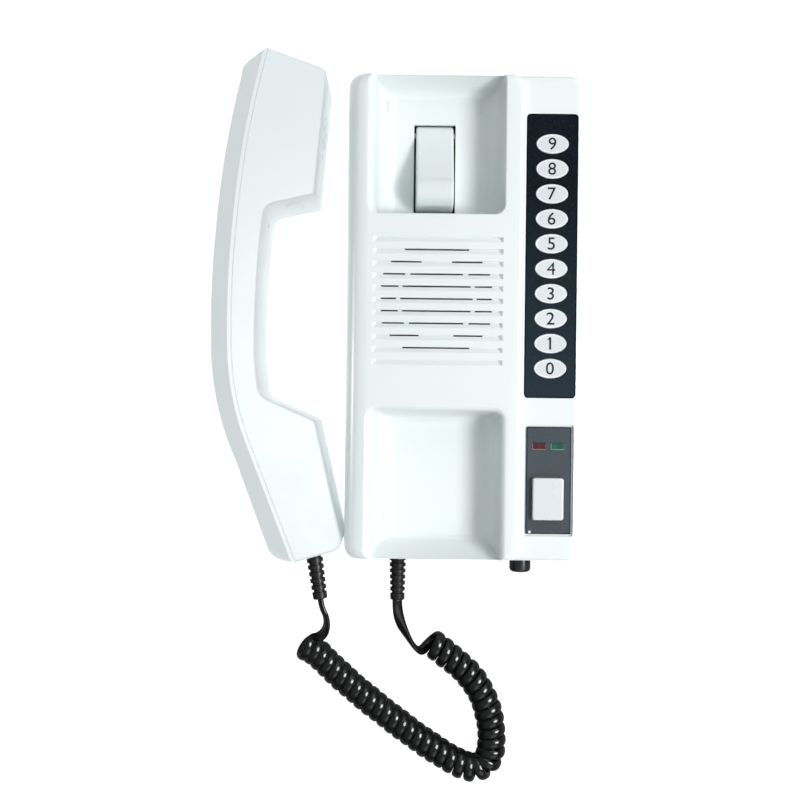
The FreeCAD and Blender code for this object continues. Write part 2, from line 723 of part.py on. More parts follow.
def spring_post():
    seat = rod((HOOK_X, SPRING_Y, 1.0), SPRING_R + 1.0, SPRING_SEAT_Z - 1.0)
    peg = rod((HOOK_X, SPRING_Y, SPRING_SEAT_Z), SPRING_R - SPRING_WIRE - 0.3, 3.0)
    return fused([seat, peg])


def make_cover_screws():
    return Part.makeCompound(
        [pan_screw(x, y, 3.5, 2.8, 1.8, 1.22, COVER_BOSS_FOOT + 7.0) for x, y in cover_boss_places()]
    )


def make_rubber_feet():
    feet = []
    for x, y in foot_places():
        foot = turned(
            [(0, TABLE_Z), (FOOT_R - 0.4, TABLE_Z), (FOOT_R, TABLE_Z + 0.4), (FOOT_R, FOOT_SINK), (0, FOOT_SINK)],
            (x, y, 0),
        )
        feet.append(foot)
    return Part.makeCompound(feet)


# ---------------------------------------------------------------- loudspeaker


def make_grille_cloth():
    return rod((SPEAKER_X, SPEAKER_Y, PLATE_UNDER - 0.3), 25.6, 0.3)


FRAME_TOP = PLATE_UNDER - 0.3


def make_speaker_frame():
    top = FRAME_TOP
    basket = [
        (23.6, top),
        (25.8, top),
        (25.8, top - 1.1),
        (23.0, top - 1.1),
        (13.0, top - 9.6),
        (4.0, top - 9.6),
        (4.0, top - 8.8),
        (12.4, top - 8.8),
        (22.0, top - 0.75),
        (23.6, top - 0.75),
    ]
    frame = turned(basket, (SPEAKER_X, SPEAKER_Y, 0))
    windows = []
    for angle in (45, 135, 225, 315):
        window = box(14.5, 20.5, -4.5, 4.5, top - 8.6, top - 1.6)
        window.rotate(Vector(0, 0, 0), Z_AXIS, angle)
        windows.append(window.translated(Vector(SPEAKER_X, SPEAKER_Y, 0)))
    return frame.cut(Part.makeCompound(windows))


def make_speaker_cone():
    top = FRAME_TOP
    outline = [
        (23.5, top - 0.05),
        (22.2, top - 0.2),
        (20.2, top - 0.15),
        (7.0, top - 6.6),
        (0.0, top - 5.0),
        (0.0, top - 5.6),
        (7.2, top - 7.4),
        (20.4, top - 0.8),
        (21.8, top - 0.75),
        (23.5, top - 0.75),
    ]
    return turned(outline, (SPEAKER_X, SPEAKER_Y, 0))


def make_speaker_magnet():
    top = FRAME_TOP - 9.6
    outline = [(0, top), (14.0, top), (14.0, top - 1.2), (13.2, top - 1.2)]
    outline += [(13.2, top - 6.2), (12.4, top - 7.0), (0, top - 7.0)]
    return turned(outline, (SPEAKER_X, SPEAKER_Y, 0))


def make_speaker_clips():
    clips = []
    low = FRAME_TOP - 2.1
    for x, y, angle in clip_places():
        clip = slab(-6.2, 2.6, -2.6, 2.6, 1.2, low, low + 1.0)
        clip = clip.cut(rod((0, 0, low - 1), 1.1, 3))
        clip.rotate(Vector(0, 0, 0), Z_AXIS, angle)
        clips.append(clip.translated(Vector(x, y, 0)))
    return Part.makeCompound(clips)


def make_speaker_screws():
    return Part.makeCompound(
        [pan_screw(x, y, FRAME_TOP - 2.1, 2.0, 1.2, 0.9, 2.8) for x, y, _ in clip_places()]
    )


# ---------------------------------------------------------------- hook lever


def hook_outline():
    """Side outline of the lever in Y and Z: nose at the hinge, hump for the earpiece, tail in the slot."""
    nose_y = HOOK_AXIS_Y
    nose_z = HOOK_AXIS_Z
    tail_y = SLOT_Y0 + 1.6
    points = [
        (tail_y, nose_z - 1.8),
        (tail_y + 1.9, HOOK_HUMP_Z - 4.2),
        (nose_y - 26.7, HOOK_HUMP_Z),
        (nose_y - 20.7, HOOK_HUMP_Z - 1.8),
        (nose_y + 0.8, nose_z + HOOK_NOSE_R - 0.05),
        (nose_y + HOOK_NOSE_R, nose_z),
        (nose_y, nose_z - HOOK_NOSE_R),
    ]
    at = [Vector(0, y, z) for y, z in points]
    return Part.Wire(
        [
            Part.LineSegment(at[0], at[1]).toShape(),
            Part.Arc(at[1], at[2], at[3]).toShape(),
            Part.LineSegment(at[3], at[4]).toShape(),
            Part.Arc(at[4], at[5], at[6]).toShape(),
            Part.LineSegment(at[6], at[0]).toShape(),
        ]
    )


def make_hook_lever():
    x0 = HOOK_X - HOOK_WIDTH / 2
    wire = hook_outline().translated(Vector(x0, 0, 0))
    solid = Part.Face(wire).extrude(Vector(HOOK_WIDTH, 0, 0))
    sides = [
        e
        for e in solid.Edges
        if e.BoundBox.XLength < 1e-6 and e.BoundBox.ZMax > HOOK_AXIS_Z + 1 and e.BoundBox.ZMin > HOOK_AXIS_Z - 5
    ]
    solid = solid.makeFillet(1.1, sides)
    tail_y = SLOT_Y0 + 1.6
    hollow = [
        (tail_y + HOOK_WALL, 0),
        (tail_y + HOOK_WALL + 1.6, HOOK_HUMP_Z - 4.6),
        (HOOK_AXIS_Y - 26.7, HOOK_HUMP_Z - HOOK_WALL),
        (HOOK_AXIS_Y - 20.7, HOOK_HUMP_Z - 1.8 - HOOK_WALL),
        (HOOK_AXIS_Y - 5.6, HOOK_AXIS_Z + 4.6),
        (HOOK_AXIS_Y - 5.6, 0),
    ]
    room = profile_x(hollow, x0 + HOOK_WALL, x0 + HOOK_WIDTH - HOOK_WALL)
    cam_y = HOOK_AXIS_Y - 21.2
    cam = box(HOOK_X - 1.5, HOOK_X + 1.5, cam_y - 2, cam_y + 2, HOOK_AXIS_Z, HOOK_HUMP_Z - HOOK_WALL + 0.2)
    bore = rod((x0 - 1, HOOK_AXIS_Y, HOOK_AXIS_Z), PIN_R + PIN_FIT, HOOK_WIDTH + 2, X_AXIS)
    return fused([solid.cut(room), cam.common(solid)]).cut(bore)


def make_hook_pin():
    length = SLOT_WIDTH + 2 * EAR_THICK
    x0 = HOOK_X - length / 2
    return rod((x0, HOOK_AXIS_Y, HOOK_AXIS_Z), PIN_R, length, X_AXIS)


def hook_spring_top():
    """Height of the lever's ceiling over the spring."""
    slope = (HOOK_HUMP_Z - 1.8 - HOOK_WALL - HOOK_AXIS_Z - 4.6) / (20.7 - 5.6)
    return HOOK_AXIS_Z + 4.6 + slope * (HOOK_AXIS_Y - 5.6 - SPRING_Y - SPRING_R)


def make_hook_spring():
    base = SPRING_SEAT_Z + 0.05 + SPRING_WIRE / 2
    height = hook_spring_top() - base - SPRING_WIRE / 2 - 0.2
    turns = 6
    radius = SPRING_R - SPRING_WIRE / 2
    helix = Part.makeHelix(height / turns, height, radius)
    half = SPRING_WIRE / 2
    square = [
        Vector(radius - half, 0, -half),
        Vector(radius + half, 0, -half),
        Vector(radius + half, 0, half),
        Vector(radius - half, 0, half),
    ]
    section = Part.makePolygon(square + square[:1])
    coil = Part.Wire(helix.Edges).makePipeShell([section], True, True)
    return coil.translated(Vector(HOOK_X, SPRING_Y, base))


def make_hook_switch():
    y = HOOK_AXIS_Y - 21.2
    pressed = HOOK_AXIS_Z - (HOOK_AXIS_Y - y + 2) * math.sin(math.radians(HOOK_TRAVEL_DEG))
    half = HOOK_WIDTH / 2 - HOOK_WALL - 0.5
    body = slab(HOOK_X - half, HOOK_X + half, y - 2.9, y + 2.9, 0.5, MAIN_TOP, MAIN_TOP + 6.0)
    plunger = slab(HOOK_X - 1.2, HOOK_X + 1.2, y - 1.2, y + 1.2, 0.4, MAIN_TOP + 6.0, pressed - 0.4)
    return fused([body, plunger])


# ---------------------------------------------------------------- keys and call panel


def make_key_fascia():
    x0 = KEY_X - FASCIA_WIDTH / 2 + 0.05
    x1 = KEY_X + FASCIA_WIDTH / 2 - 0.05
    plate = slab(x0, x1, FASCIA_Y0 + 0.05, FASCIA_Y1 - 0.05, FASCIA_R, FASCIA_FLOOR, FASCIA_TOP)
    holes = [
        oval(KEY_X, y, KEY_WIDTH + 2 * KEY_GAP, KEY_HEIGHT + 2 * KEY_GAP, FASCIA_FLOOR - 1, FASCIA_TOP + 1)
        for y in key_rows()
    ]
    return plate.cut(Part.makeCompound(holes))


def make_digit_key(y):
    top = FASCIA_TOP + KEY_PROUD
    cap = oval(KEY_X, y, KEY_WIDTH, KEY_HEIGHT, FLANGE_TOP - 0.1, top)
    rim = [e for e in cap.Edges if e.BoundBox.ZMin > top - 1e-6]
    cap = cap.makeFillet(0.3, rim)
    flange = oval(KEY_X, y, KEY_WIDTH + 2.2, KEY_HEIGHT + 1.6, FLANGE_TOP - KEY_FLANGE, FLANGE_TOP)
    return fused([cap, flange])


def make_key_mat():
    sheet = slab(
        KEY_X - 9.4, KEY_X + 9.4, key_rows()[-1] - 6.0, KEY_TOP_Y + 6.0, 2.0, KEY_BOARD_TOP, KEY_BOARD_TOP + MAT_THICK
    )
    low = KEY_BOARD_TOP + MAT_THICK - 0.1
    domes = [
        turned([(0, low), (DOME_R, low), (DOME_R * 0.66, DOME_TOP), (0, DOME_TOP)], (KEY_X, y, 0)) for y in key_rows()
    ]
    return fused([sheet] + domes)


def make_key_board():
    low = KEY_BOARD_TOP - BOARD_THICK
    board = slab(KEY_BOARD_X0, KEY_BOARD_X1, KEY_BOARD_Y0, KEY_BOARD_Y1, 1.0, low, KEY_BOARD_TOP)
    holes = [rod((x, y, low - 1), 1.3, BOARD_THICK + 2) for x, y in key_board_screw_places()]
    holes += [rod((x, y, low - 1), COVER_BOSS_R + 0.5, BOARD_THICK + 2) for x, y in cover_boss_places()]
    return board.cut(Part.makeCompound(holes))


def make_key_board_screws():
    low = KEY_BOARD_TOP - BOARD_THICK
    return Part.makeCompound([pan_screw(x, y, low, 2.2, 1.3, 1.0, 5.2) for x, y in key_board_screw_places()])


def lamp_block(x, gap, z0, z1):
    half_x = LAMP_SIZE[0] / 2 + gap
    half_y = LAMP_SIZE[1] / 2 + gap
    return slab(x - half_x, x + half_x, LAMP_Y - half_y, LAMP_Y + half_y, 0.4, z0, z1)


def button_block(gap, radius, z0, z1):
    half_x = BUTTON_WIDTH / 2 + gap
    half_y = BUTTON_LENGTH / 2 + gap
    return slab(
        BUTTON_X - half_x, BUTTON_X + half_x, BUTTON_Y - half_y, BUTTON_Y + half_y, radius, z0, z1
    )


def make_call_fascia():
    plate = slab(
        CALL_X - CALL_WIDTH / 2, CALL_X + CALL_WIDTH / 2, CALL_Y0, CALL_Y1, 0.5, CALL_FLOOR, CALL_FLOOR + CALL_THICK
    )
    holes = [lamp_block(x, 0.1, CALL_FLOOR - 1, PANEL_Z) for x in LAMP_XS]
    holes.append(button_block(BUTTON_GAP, 1.2, CALL_FLOOR - 1, PANEL_Z))
    return plate.cut(Part.makeCompound(holes))


def make_lamp_window(x):
    lens = lamp_block(x, 0.0, PANEL_UNDER - 0.1, CALL_FLOOR + CALL_THICK + 0.25)
    top = lens.BoundBox.ZMax
    rim = [e for e in lens.Edges if e.BoundBox.ZMin > top - 1e-6]
    lens = lens.makeFillet(0.2, rim)
    foot = lamp_block(x, 0.8, PANEL_UNDER - 0.9, PANEL_UNDER)
    return fused([lens, foot])


def make_lamp_diodes():
    top = PANEL_UNDER - 1.2
    diodes = []
    for x in LAMP_XS:
        body = slab(x - 2.5, x + 2.5, LAMP_Y - 1.0, LAMP_Y + 1.0, 0.3, KEY_BOARD_TOP + 0.8, top)
        flange = slab(x - 2.9, x + 2.9, LAMP_Y - 1.4, LAMP_Y + 1.4, 0.3, KEY_BOARD_TOP, KEY_BOARD_TOP + 0.8)
        diodes.append(fused([body, flange]))
    return Part.makeCompound(diodes)


def make_call_button():
    top = CALL_FLOOR + CALL_THICK + BUTTON_RISE
    cap = button_block(0.0, 1.0, FLANGE_TOP - 0.1, top)
    rim = [e for e in cap.Edges if e.BoundBox.ZMin > top - 1e-6]
    cap = cap.makeFillet(0.6, rim)
    flange = button_block(1.2, 1.6, FLANGE_TOP - 1.0, FLANGE_TOP)
    room = button_block(-1.6, 0.6, FLANGE_TOP - 2.0, top - 1.6)
    stem = rod((BUTTON_X, BUTTON_Y, FLANGE_TOP - 0.4), 2.2, top - FLANGE_TOP - 0.8)
    return fused([fused([cap, flange]).cut(room), stem])


def make_call_switch():
    body = slab(BUTTON_X - 3.0, BUTTON_X + 3.0, BUTTON_Y - 3.0, BUTTON_Y + 3.0, 0.5, KEY_BOARD_TOP, KEY_BOARD_TOP + 1.6)
    plunger_top = FLANGE_TOP - 0.4 - BUTTON_TRAVEL - 0.2
    plunger = rod((BUTTON_X, BUTTON_Y, KEY_BOARD_TOP + 1.6), 1.7, max(plunger_top - KEY_BOARD_TOP - 1.6, 0.2))
    return fused([body, plunger])


# ---------------------------------------------------------------- main board and controls


def make_main_board():
    z0 = MAIN_BOARD_Z
    board = slab(
        -MAIN_BOARD_HALF_X, MAIN_BOARD_HALF_X, -MAIN_BOARD_HALF_Y, MAIN_BOARD_HALF_Y, 1.5, z0, z0 + BOARD_THICK
    )
    holes = [rod((x, y, z0 - 1), 1.4, BOARD_THICK + 2) for x, y in board_post_places()]
    bay = slab(HOOK_X - 8, HOOK_X + 8, SPRING_Y - 5, SPRING_Y + 12, 1.5, z0 - 1, z0 + BOARD_THICK + 1)
    return board.cut(Part.makeCompound(holes + [bay]))


def make_board_screws():
    return Part.makeCompound(
        [pan_screw(x, y, MAIN_TOP, 2.4, 1.5, 1.1, 5.2, -1) for x, y in board_post_places()]
    )


def make_radio_shield():
    x0 = 4.0 - MAIN_BOARD_HALF_X
    y0 = 14.0 - MAIN_BOARD_HALF_Y
    x1 = x0 + SHIELD_SIZE[0]
    y1 = y0 + SHIELD_SIZE[1]
    top = MAIN_TOP + SHIELD_SIZE[2]
    wall = SHIELD_WALL
    can = slab(x0, x1, y0, y1, 1.0, MAIN_TOP, top)
    room = slab(x0 + wall, x1 - wall, y0 + wall, y1 - wall, 0.6, MAIN_TOP - 1, top - wall)
    return can.cut(room)


def make_capacitors():
    cans = []
    foot = -MAIN_BOARD_HALF_Y
    for x, y, radius, height in ((8, foot + 22, 4.0, 9.5), (16, foot + 32, 3.2, 8.0), (8, foot + 36, 3.2, 8.0)):
        outline = [(0, 0), (radius, 0), (radius, 1.2), (radius - 0.4, 1.5), (radius, 1.8)]
        outline += [(radius, height - 0.3), (radius - 0.3, height), (0, height)]
        cans.append(turned(outline, (x, y, MAIN_TOP)))
    return Part.makeCompound(cans)


def volume_wall_y():
    """Outer face of the bottom wall at the height of the volume shaft."""
    return -BODY_LENGTH / 2 + (PARTING_Z - VOLUME_Z) * REAR_DRAFT


def make_volume_pot():
    y0 = -BODY_LENGTH / 2 + WALL + 2.2
    body = slab(VOLUME_X - 4.8, VOLUME_X + 4.8, y0, y0 + 9.5, 0.6, MAIN_TOP, VOLUME_Z + 4.8)
    bushing = rod((VOLUME_X, y0 - 3.6, VOLUME_Z), BUSHING_R, 4.0, Y_AXIS)
    bore = rod((VOLUME_X, y0 - 5, VOLUME_Z), SHAFT_R + 0.05, 12.0, Y_AXIS)
    return fused([body, bushing]).cut(bore)


def make_volume_shaft():
    y0 = -BODY_LENGTH / 2 + WALL + 2.2
    tip = volume_wall_y() - KNOB_GAP - KNOB_LENGTH + 1.8
    return rod((VOLUME_X, tip, VOLUME_Z), SHAFT_R, y0 + 6.8 - tip, Y_AXIS)


def make_volume_knob():
    near = 0.0
    far = KNOB_LENGTH
    bore = SHAFT_R + 0.02
    depth = KNOB_LENGTH - 1.7
    outline = [
        (bore, near),
        (KNOB_R - 0.3, near),
        (KNOB_R, near + 0.3),
        (KNOB_R, far - 1.6),
        (KNOB_R - 0.35, far - 0.75),
        (KNOB_R - 1.1, far - 0.25),
        (KNOB_R - 2.4, far),
        (0, far),
        (0, depth),
        (bore, depth),
    ]
    at = (VOLUME_X, volume_wall_y() - KNOB_GAP, VOLUME_Z)
    return turned(outline, at, Y_AXIS * -1)


def make_power_inlet():
    wall_y = BODY_LENGTH / 2 - (PARTING_Z - INLET_Z) * REAR_DRAFT
    inner = wall_y - WALL - 0.2
    body = slab(INLET_X - 4.6, INLET_X + 4.6, inner - 12.0, inner, 0.5, MAIN_TOP, INLET_Z + 4.8)
    barrel = rod((INLET_X, inner - 1, INLET_Z), INLET_R, WALL + 1.0, Y_AXIS)
    bore = rod((INLET_X, inner - 8.5, INLET_Z), INLET_BORE_R, 20, Y_AXIS)
    pin = rod((INLET_X, inner - 9.0, INLET_Z), INLET_PIN_R, 9.0, Y_AXIS)
    return fused([fused([body, barrel]).cut(bore), pin])


# ---------------------------------------------------------------- handset

# Parting line between the shells, from the earpiece end to the cord end, as arc ends and middles.
PARTING = [(-0.3, 104.3), (-5.9, 72.0), (-9.0, 34.0), (-9.55, 8.0), (-8.4, -19.0), (-4.9, -42.5), (2.4, -63.0)]
PARTING_END = (24.6, -111.6)
# The back's outline at its fullest, in step with the parting line, with a rounded corner at each end.
BACK = [(-12.5, 94.6), (-16.9, 66.0), (-19.4, 30.0), (-19.75, 6.0), (-18.5, -22.0), (-14.2, -47.0), (-4.7, -71.0)]
BACK_TOP_CORNER = [(-7.8, 101.6), (-11.1, 99.4)]
BACK_BOTTOM_CORNER = [(10.6, -106.2), (12.9, -109.8), (16.8, -112.1)]
BACK_ENDS = [(-0.3, 105.1), (24.6, -112.7)]
# How full the back is at each half width: the rim, the bevel, and the rounding into the flat back.
BACK_FULLNESS = [(1.0, 0.15), (0.975, 0.2), (0.62, 0.92), (0.54, 0.975), (0.44, 1.0)]

EAR_FACE = [(24.9, 97.0), (22.9, 44.0)]
EAR_FOOT = (2.2, 38.0)
GRIP = [(0.3, 6.0), (2.3, -27.0), (5.0, -42.3)]  # hollowed a little, so the hand closes around it
MOUTH_FACE = [(29.2, -51.4), (44.4, -104.7)]
CORNER_RADII = [3.0, 1.6, 5.5, 440.0, 80.0, 7.0, 2.4, 5.0]  # in step with the corners from the ear face on


def flat_vector(point, z=0.0):
    return Vector(point[0], point[1], z)


def arc_through(points, z):
    a, b, c = [flat_vector(p, z) for p in points]
    return Part.Arc(a, b, c).toShape()


def straight(a, b, z):
    return Part.LineSegment(flat_vector(a, z), flat_vector(b, z)).toShape()


def parting_edges(z):
    edges = [arc_through(PARTING[i : i + 3], z) for i in (0, 2, 4)]
    edges.append(straight(PARTING[-1], PARTING_END, z))
    return edges


def front_corners():
    """The front shell's outline from the earpiece end's parting point to the cord end's, with radii."""
    points = [PARTING[0]] + EAR_FACE + [EAR_FOOT] + GRIP + MOUTH_FACE + [PARTING_END]
    return [flat_vector(p) for p in points], [0.0] + CORNER_RADII + [0.0]


def front_solid(half):
    points, radii = front_corners()
    edges = rounded_edges(points, radii, False)
    wire = Part.Wire(Part.sortEdges(edges + parting_edges(0.0))[0])
    return Part.Face(wire).extrude(Vector(0, 0, 2 * half)).translated(Vector(0, 0, -half))


def blend_point(at_parting, at_back, fullness):
    return tuple(p + (b - p) * fullness for p, b in zip(at_parting, at_back))


def back_section(fullness, z):
    """The back shell's outline at one height across its width."""
    start = PARTING[0]
    end = PARTING_END
    line = [blend_point(p, b, fullness) for p, b in zip(PARTING, BACK)]
    top = [blend_point(start, b, fullness) for b in BACK_TOP_CORNER]
    low = [blend_point(end, b, fullness) for b in BACK_BOTTOM_CORNER]
    tips = [blend_point(p, b, fullness) for p, b in zip((start, end), BACK_ENDS)]
    edges = [
        straight(start, tips[0], z),
        straight(tips[0], top[0], z),
        arc_through([top[0], top[1], line[0]], z),
        arc_through(line[0:3], z),
        arc_through(line[2:5], z),
        arc_through(line[4:7], z),
        straight(line[6], low[0], z),
        arc_through(low, z),
        straight(low[2], tips[1], z),
        straight(tips[1], end, z),
    ]
    edges += [edge.reversed() for edge in reversed(parting_edges(z))]
    return Part.Wire(edges)


def back_solid():
    half = HANDSET_WIDTH / 2
    levels = [(half * share, fullness) for share, fullness in BACK_FULLNESS]
    sections = [back_section(f, z) for z, f in levels]
    sections += [back_section(f, -z) for z, f in reversed(levels)]
    return Part.makeLoft(sections, True, True)


def handset_room(half):
    """The room inside the handset: its whole outline, drawn in by the wall."""
    points, radii = front_corners()
    edges = rounded_edges(points, radii, False)
    back = [
        straight(PARTING[0], BACK_TOP_CORNER[0], 0.0),
        arc_through([BACK_TOP_CORNER[0], BACK_TOP_CORNER[1], BACK[0]], 0.0),
    ]
    back += [arc_through(BACK[i : i + 3], 0.0) for i in (0, 2, 4)]
    back.append(straight(BACK[-1], BACK_BOTTOM_CORNER[0], 0.0))
    back.append(arc_through(BACK_BOTTOM_CORNER, 0.0))
    back.append(straight(BACK_BOTTOM_CORNER[2], PARTING_END, 0.0))
    wire = Part.Wire(Part.sortEdges(edges + back)[0])
    inner = Part.Face(wire).makeOffset2D(-SHELL_WALL)
    return inner.extrude(Vector(0, 0, 2 * half)).translated(Vector(0, 0, -half))


def face_frame(face):
    """Middle of a cap's face and the angle of its normal from x, in degrees."""
    (x0, y0), (x1, y1) = face
    angle = math.degrees(math.atan2(x1 - x0, y0 - y1))
    return ((x0 + x1) / 2, (y0 + y1) / 2), angle


def on_face(shape, face, out=0.0, slide=0.0):
    """Puts a shape drawn about x, with x 0 on a cap's face, onto that face."""
    (x, y), angle = face_frame(face)
    moved = shape.translated(Vector(out, slide, 0))
    moved.rotate(Vector(0, 0, 0), Z_AXIS, angle)
    return moved.translated(Vector(x, y, 0))


EAR_SLIDE = 2.0
MOUTH_SLIDE = 3.0
EAR_CAPSULE_R = 15.0
EAR_CAPSULE_DEPTH = 9.0
MIC_HOLDER_R = 7.6
MIC_HOLDER_DEPTH = 8.4
MIC_R = 4.9
MIC_DEPTH = 6.6
WEIGHT_AT = (-1.4, -2.0)  # the middle of the steel bar's face towards the grip


def sound_holes(places, radius):
    return Part.makeCompound([rod((-6, y, z), radius, 12, X_AXIS) for y, z in places])


def ring_places(count, radius):
    steps = [2 * math.pi * k / count for k in range(count)]
    return [(radius * math.cos(a), radius * math.sin(a)) for a in steps]


def collar(inner, outer, depth):
    return rod((-SHELL_WALL - depth, 0, 0), outer, depth + 0.2, X_AXIS).cut(
        rod((-SHELL_WALL - depth - 1, 0, 0), inner, depth + 2, X_AXIS)
    )


def handset_screw_places():
    """Screws through the back shell: place on the back and the way each points, in the handset's plane."""
    return [((-16.4, 32.0), 2.0), ((7.2, -84.0), -24.0)]


def parting_groove(half):
    """A fine groove beside the parting line, on both flat sides of the front shell."""
    width, depth = SHELL_GROOVE
    whole = front_solid(half + 1)
    strip = whole.cut(whole.translated(Vector(width, 0, 0)))
    return strip.cut(box(-60, 90, -150, 150, depth - half, half - depth))


def make_handset_front():
    half = HANDSET_WIDTH / 2 - SHELL_STEP
    solid = front_solid(half)
    rounded = []
    for edge in solid.Edges:
        bb = edge.BoundBox
        flat = bb.ZLength < 1e-6 and abs(abs(bb.ZMin) - half) < 1e-6
        middle = edge.valueAt((edge.FirstParameter + edge.LastParameter) / 2)
        on_parting = any(middle.distanceToPoint(p) < 0.05 for p in parting_middles(middle.z))
        if flat and not on_parting:
            rounded.append(edge)
    solid = solid.makeFillet(HANDSET_EDGE_R, rounded)
    shell = solid.cut(handset_room(half - SHELL_WALL))
    added = [
        on_face(collar(EAR_CAPSULE_R + 0.2, EAR_CAPSULE_R + 1.6, 3.0), EAR_FACE, 0, EAR_SLIDE),
        on_face(collar(MIC_HOLDER_R + 0.1, MIC_HOLDER_R + 1.4, 4.0), MOUTH_FACE, 0, MOUTH_SLIDE),
        hang_rib(),
    ]
    added += [screw_boss(place).common(solid) for place in handset_screw_places()]
    shell = fused([shell] + added)
    ear = [(0, 0)] + ring_places(6, 4.2) + ring_places(10, 8.6)
    cuts = [
        on_face(sound_holes(ear, 1.1), EAR_FACE, 0, EAR_SLIDE),
        on_face(sound_holes([(0, 0)] + ring_places(5, 3.4), 0.9), MOUTH_FACE, 0, MOUTH_SLIDE),
        handset_boot_axis_rod(BOOT_ROOT_R + 0.05, 7.0, 9.0),
    ]
    cuts += [screw_hole(place) for place in handset_screw_places()]
    return shell.cut(Part.makeCompound(cuts)).cut(parting_groove(half))


def parting_middles(z):
    """The middle of each of the parting line's edges."""
    middles = []
    for edge in parting_edges(z):
        middles.append(edge.valueAt((edge.FirstParameter + edge.LastParameter) / 2))
    return middles


def hang_rib():
    """A low pad on the ear cap's underside, by which the handset hangs on a wall."""
    (x0, y0), (x1, y1) = EAR_FACE[1], EAR_FOOT
    angle = math.degrees(math.atan2(y0 - y1, x0 - x1))
    pad = slab(-3.2, 3.2, -0.7, 0.6, 0.3, -9.5, 9.5)
    pad.rotate(Vector(0, 0, 0), Z_AXIS, angle)
    return pad.translated(Vector((x0 + x1) / 2 + 1.0, (y0 + y1) / 2 + 0.2, 0))


def screw_axis(place):
    (x, y), angle = place
    turn = math.radians(angle)
    return Vector(x, y, 0), Vector(math.cos(turn), math.sin(turn), 0)


def screw_boss(place):
    """The front shell's boss, which reaches across to the back shell's."""
    at, way = screw_axis(place)
    return Part.makeCylinder(3.2, 40, at + way * 7.0, way)


def screw_hole(place):
    at, way = screw_axis(place)
    return Part.makeCylinder(1.15 + SCREW_FIT, 14.5, at + way * 5.0, way)


def make_handset_back():
    solid = back_solid()
    shell = solid.cut(handset_room(HANDSET_WIDTH / 2 * 0.47))
    posts = []
    cuts = []
    for place in handset_screw_places():
        at, way = screw_axis(place)
        post = Part.makeCylinder(4.2, 12.8, at - way * 6.0, way)
        posts.append(post.common(solid))
        cuts.append(Part.makeCylinder(2.9, 11.0, at - way * 8.0, way))
        cuts.append(Part.makeCylinder(1.4, 20.0, at, way))
    shell = fused([shell] + posts)
    cuts.append(front_solid(HANDSET_WIDTH / 2 + 1))
    return shell.cut(cuts[0]).cut(cuts[1]).cut(cuts[2]).cut(cuts[3]).cut(cuts[4])


def make_handset_screws():
    screws = []
    for place in handset_screw_places():
        at, way = screw_axis(place)
        head = Part.makeCylinder(2.6, 1.6, at + way * 1.4, way)
        screws.append(fused([head, Part.makeCylinder(1.15, 14.0, at + way * 3.0, way)]))
    return Part.makeCompound(screws)


def make_earpiece():
    back = -SHELL_WALL - 0.05 - EAR_CAPSULE_DEPTH
    can = rod((back, 0, 0), EAR_CAPSULE_R, EAR_CAPSULE_DEPTH, X_AXIS)
    boss = rod((back - 1.6, 0, 0), 6.0, 1.8, X_AXIS)
    return on_face(fused([can, boss]), EAR_FACE, 0, EAR_SLIDE)


def make_mic_holder():
    back = -SHELL_WALL - 0.05 - MIC_HOLDER_DEPTH
    cup = rod((back, 0, 0), MIC_HOLDER_R, MIC_HOLDER_DEPTH, X_AXIS)
    cup = cup.cut(rod((-SHELL_WALL - MIC_DEPTH - 0.1, 0, 0), MIC_R + 0.02, 20, X_AXIS))
    return on_face(cup, MOUTH_FACE, 0, MOUTH_SLIDE)


def make_microphone():
    can = rod((-SHELL_WALL - MIC_DEPTH - 0.05, 0, 0), MIC_R, MIC_DEPTH - 0.4, X_AXIS)
    return on_face(can, MOUTH_FACE, 0, MOUTH_SLIDE)


def make_handset_weight():
    """A steel bar that lies against the grip's inner wall."""
    x, y = WEIGHT_AT
    return slab(x - 4.4, x, y - 24.0, y + 24.0, 1.0, -10.0, 10.0)


# ---------------------------------------------------------------- cord and strain reliefs

BOOT_AT = (30.6, -109.4)  # where the handset's boot leaves its end face
BOOT_WAY_DEG = -78.4  # its direction in the handset's own plane
HANDSET_BOOT_LENGTH = 21.0


def boot_outline(length, neck, neck_r):
    """Half outline of a strain relief: flange inside the wall, neck, and a ribbed taper outside."""
    flange_r = BOOT_ROOT_R + 1.3
    outline = [(0, -neck - 1.5), (flange_r, -neck - 1.5), (flange_r, -neck), (neck_r, -neck)]
    if neck_r < BOOT_ROOT_R:
        outline.append((neck_r, 0.05))
    outline.append((BOOT_ROOT_R, 0.05))
    pitch = (length - 3.0) / BOOT_RIBS
    for k in range(BOOT_RIBS):
        near = 1.6 + pitch * k
        share = near / length
        radius = BOOT_ROOT_R + (BOOT_TIP_R - BOOT_ROOT_R) * share
        outline += [(radius, near), (radius - 0.75, near + 0.2)]
        outline += [(radius - 0.8, near + pitch * 0.4), (radius - 0.05, near + pitch * 0.4 + 0.2)]
    outline += [(BOOT_TIP_R, length - 0.4), (BOOT_TIP_R - 0.4, length), (0, length)]
    return outline


def make_base_boot():
    at = (BASE_CORD_X, -BODY_LENGTH / 2, PARTING_Z)
    return turned(boot_outline(BOOT_LENGTH, WALL + 0.5, BOOT_TIP_R), at, Y_AXIS * -1)


def handset_boot_way():
    turn = math.radians(BOOT_WAY_DEG)
    return Vector(math.cos(turn), math.sin(turn), 0)


def handset_boot_axis_rod(radius, back, length):
    way = handset_boot_way()
    start = Vector(BOOT_AT[0], BOOT_AT[1], 0) - way * back
    return Part.makeCylinder(radius, length, start, way)


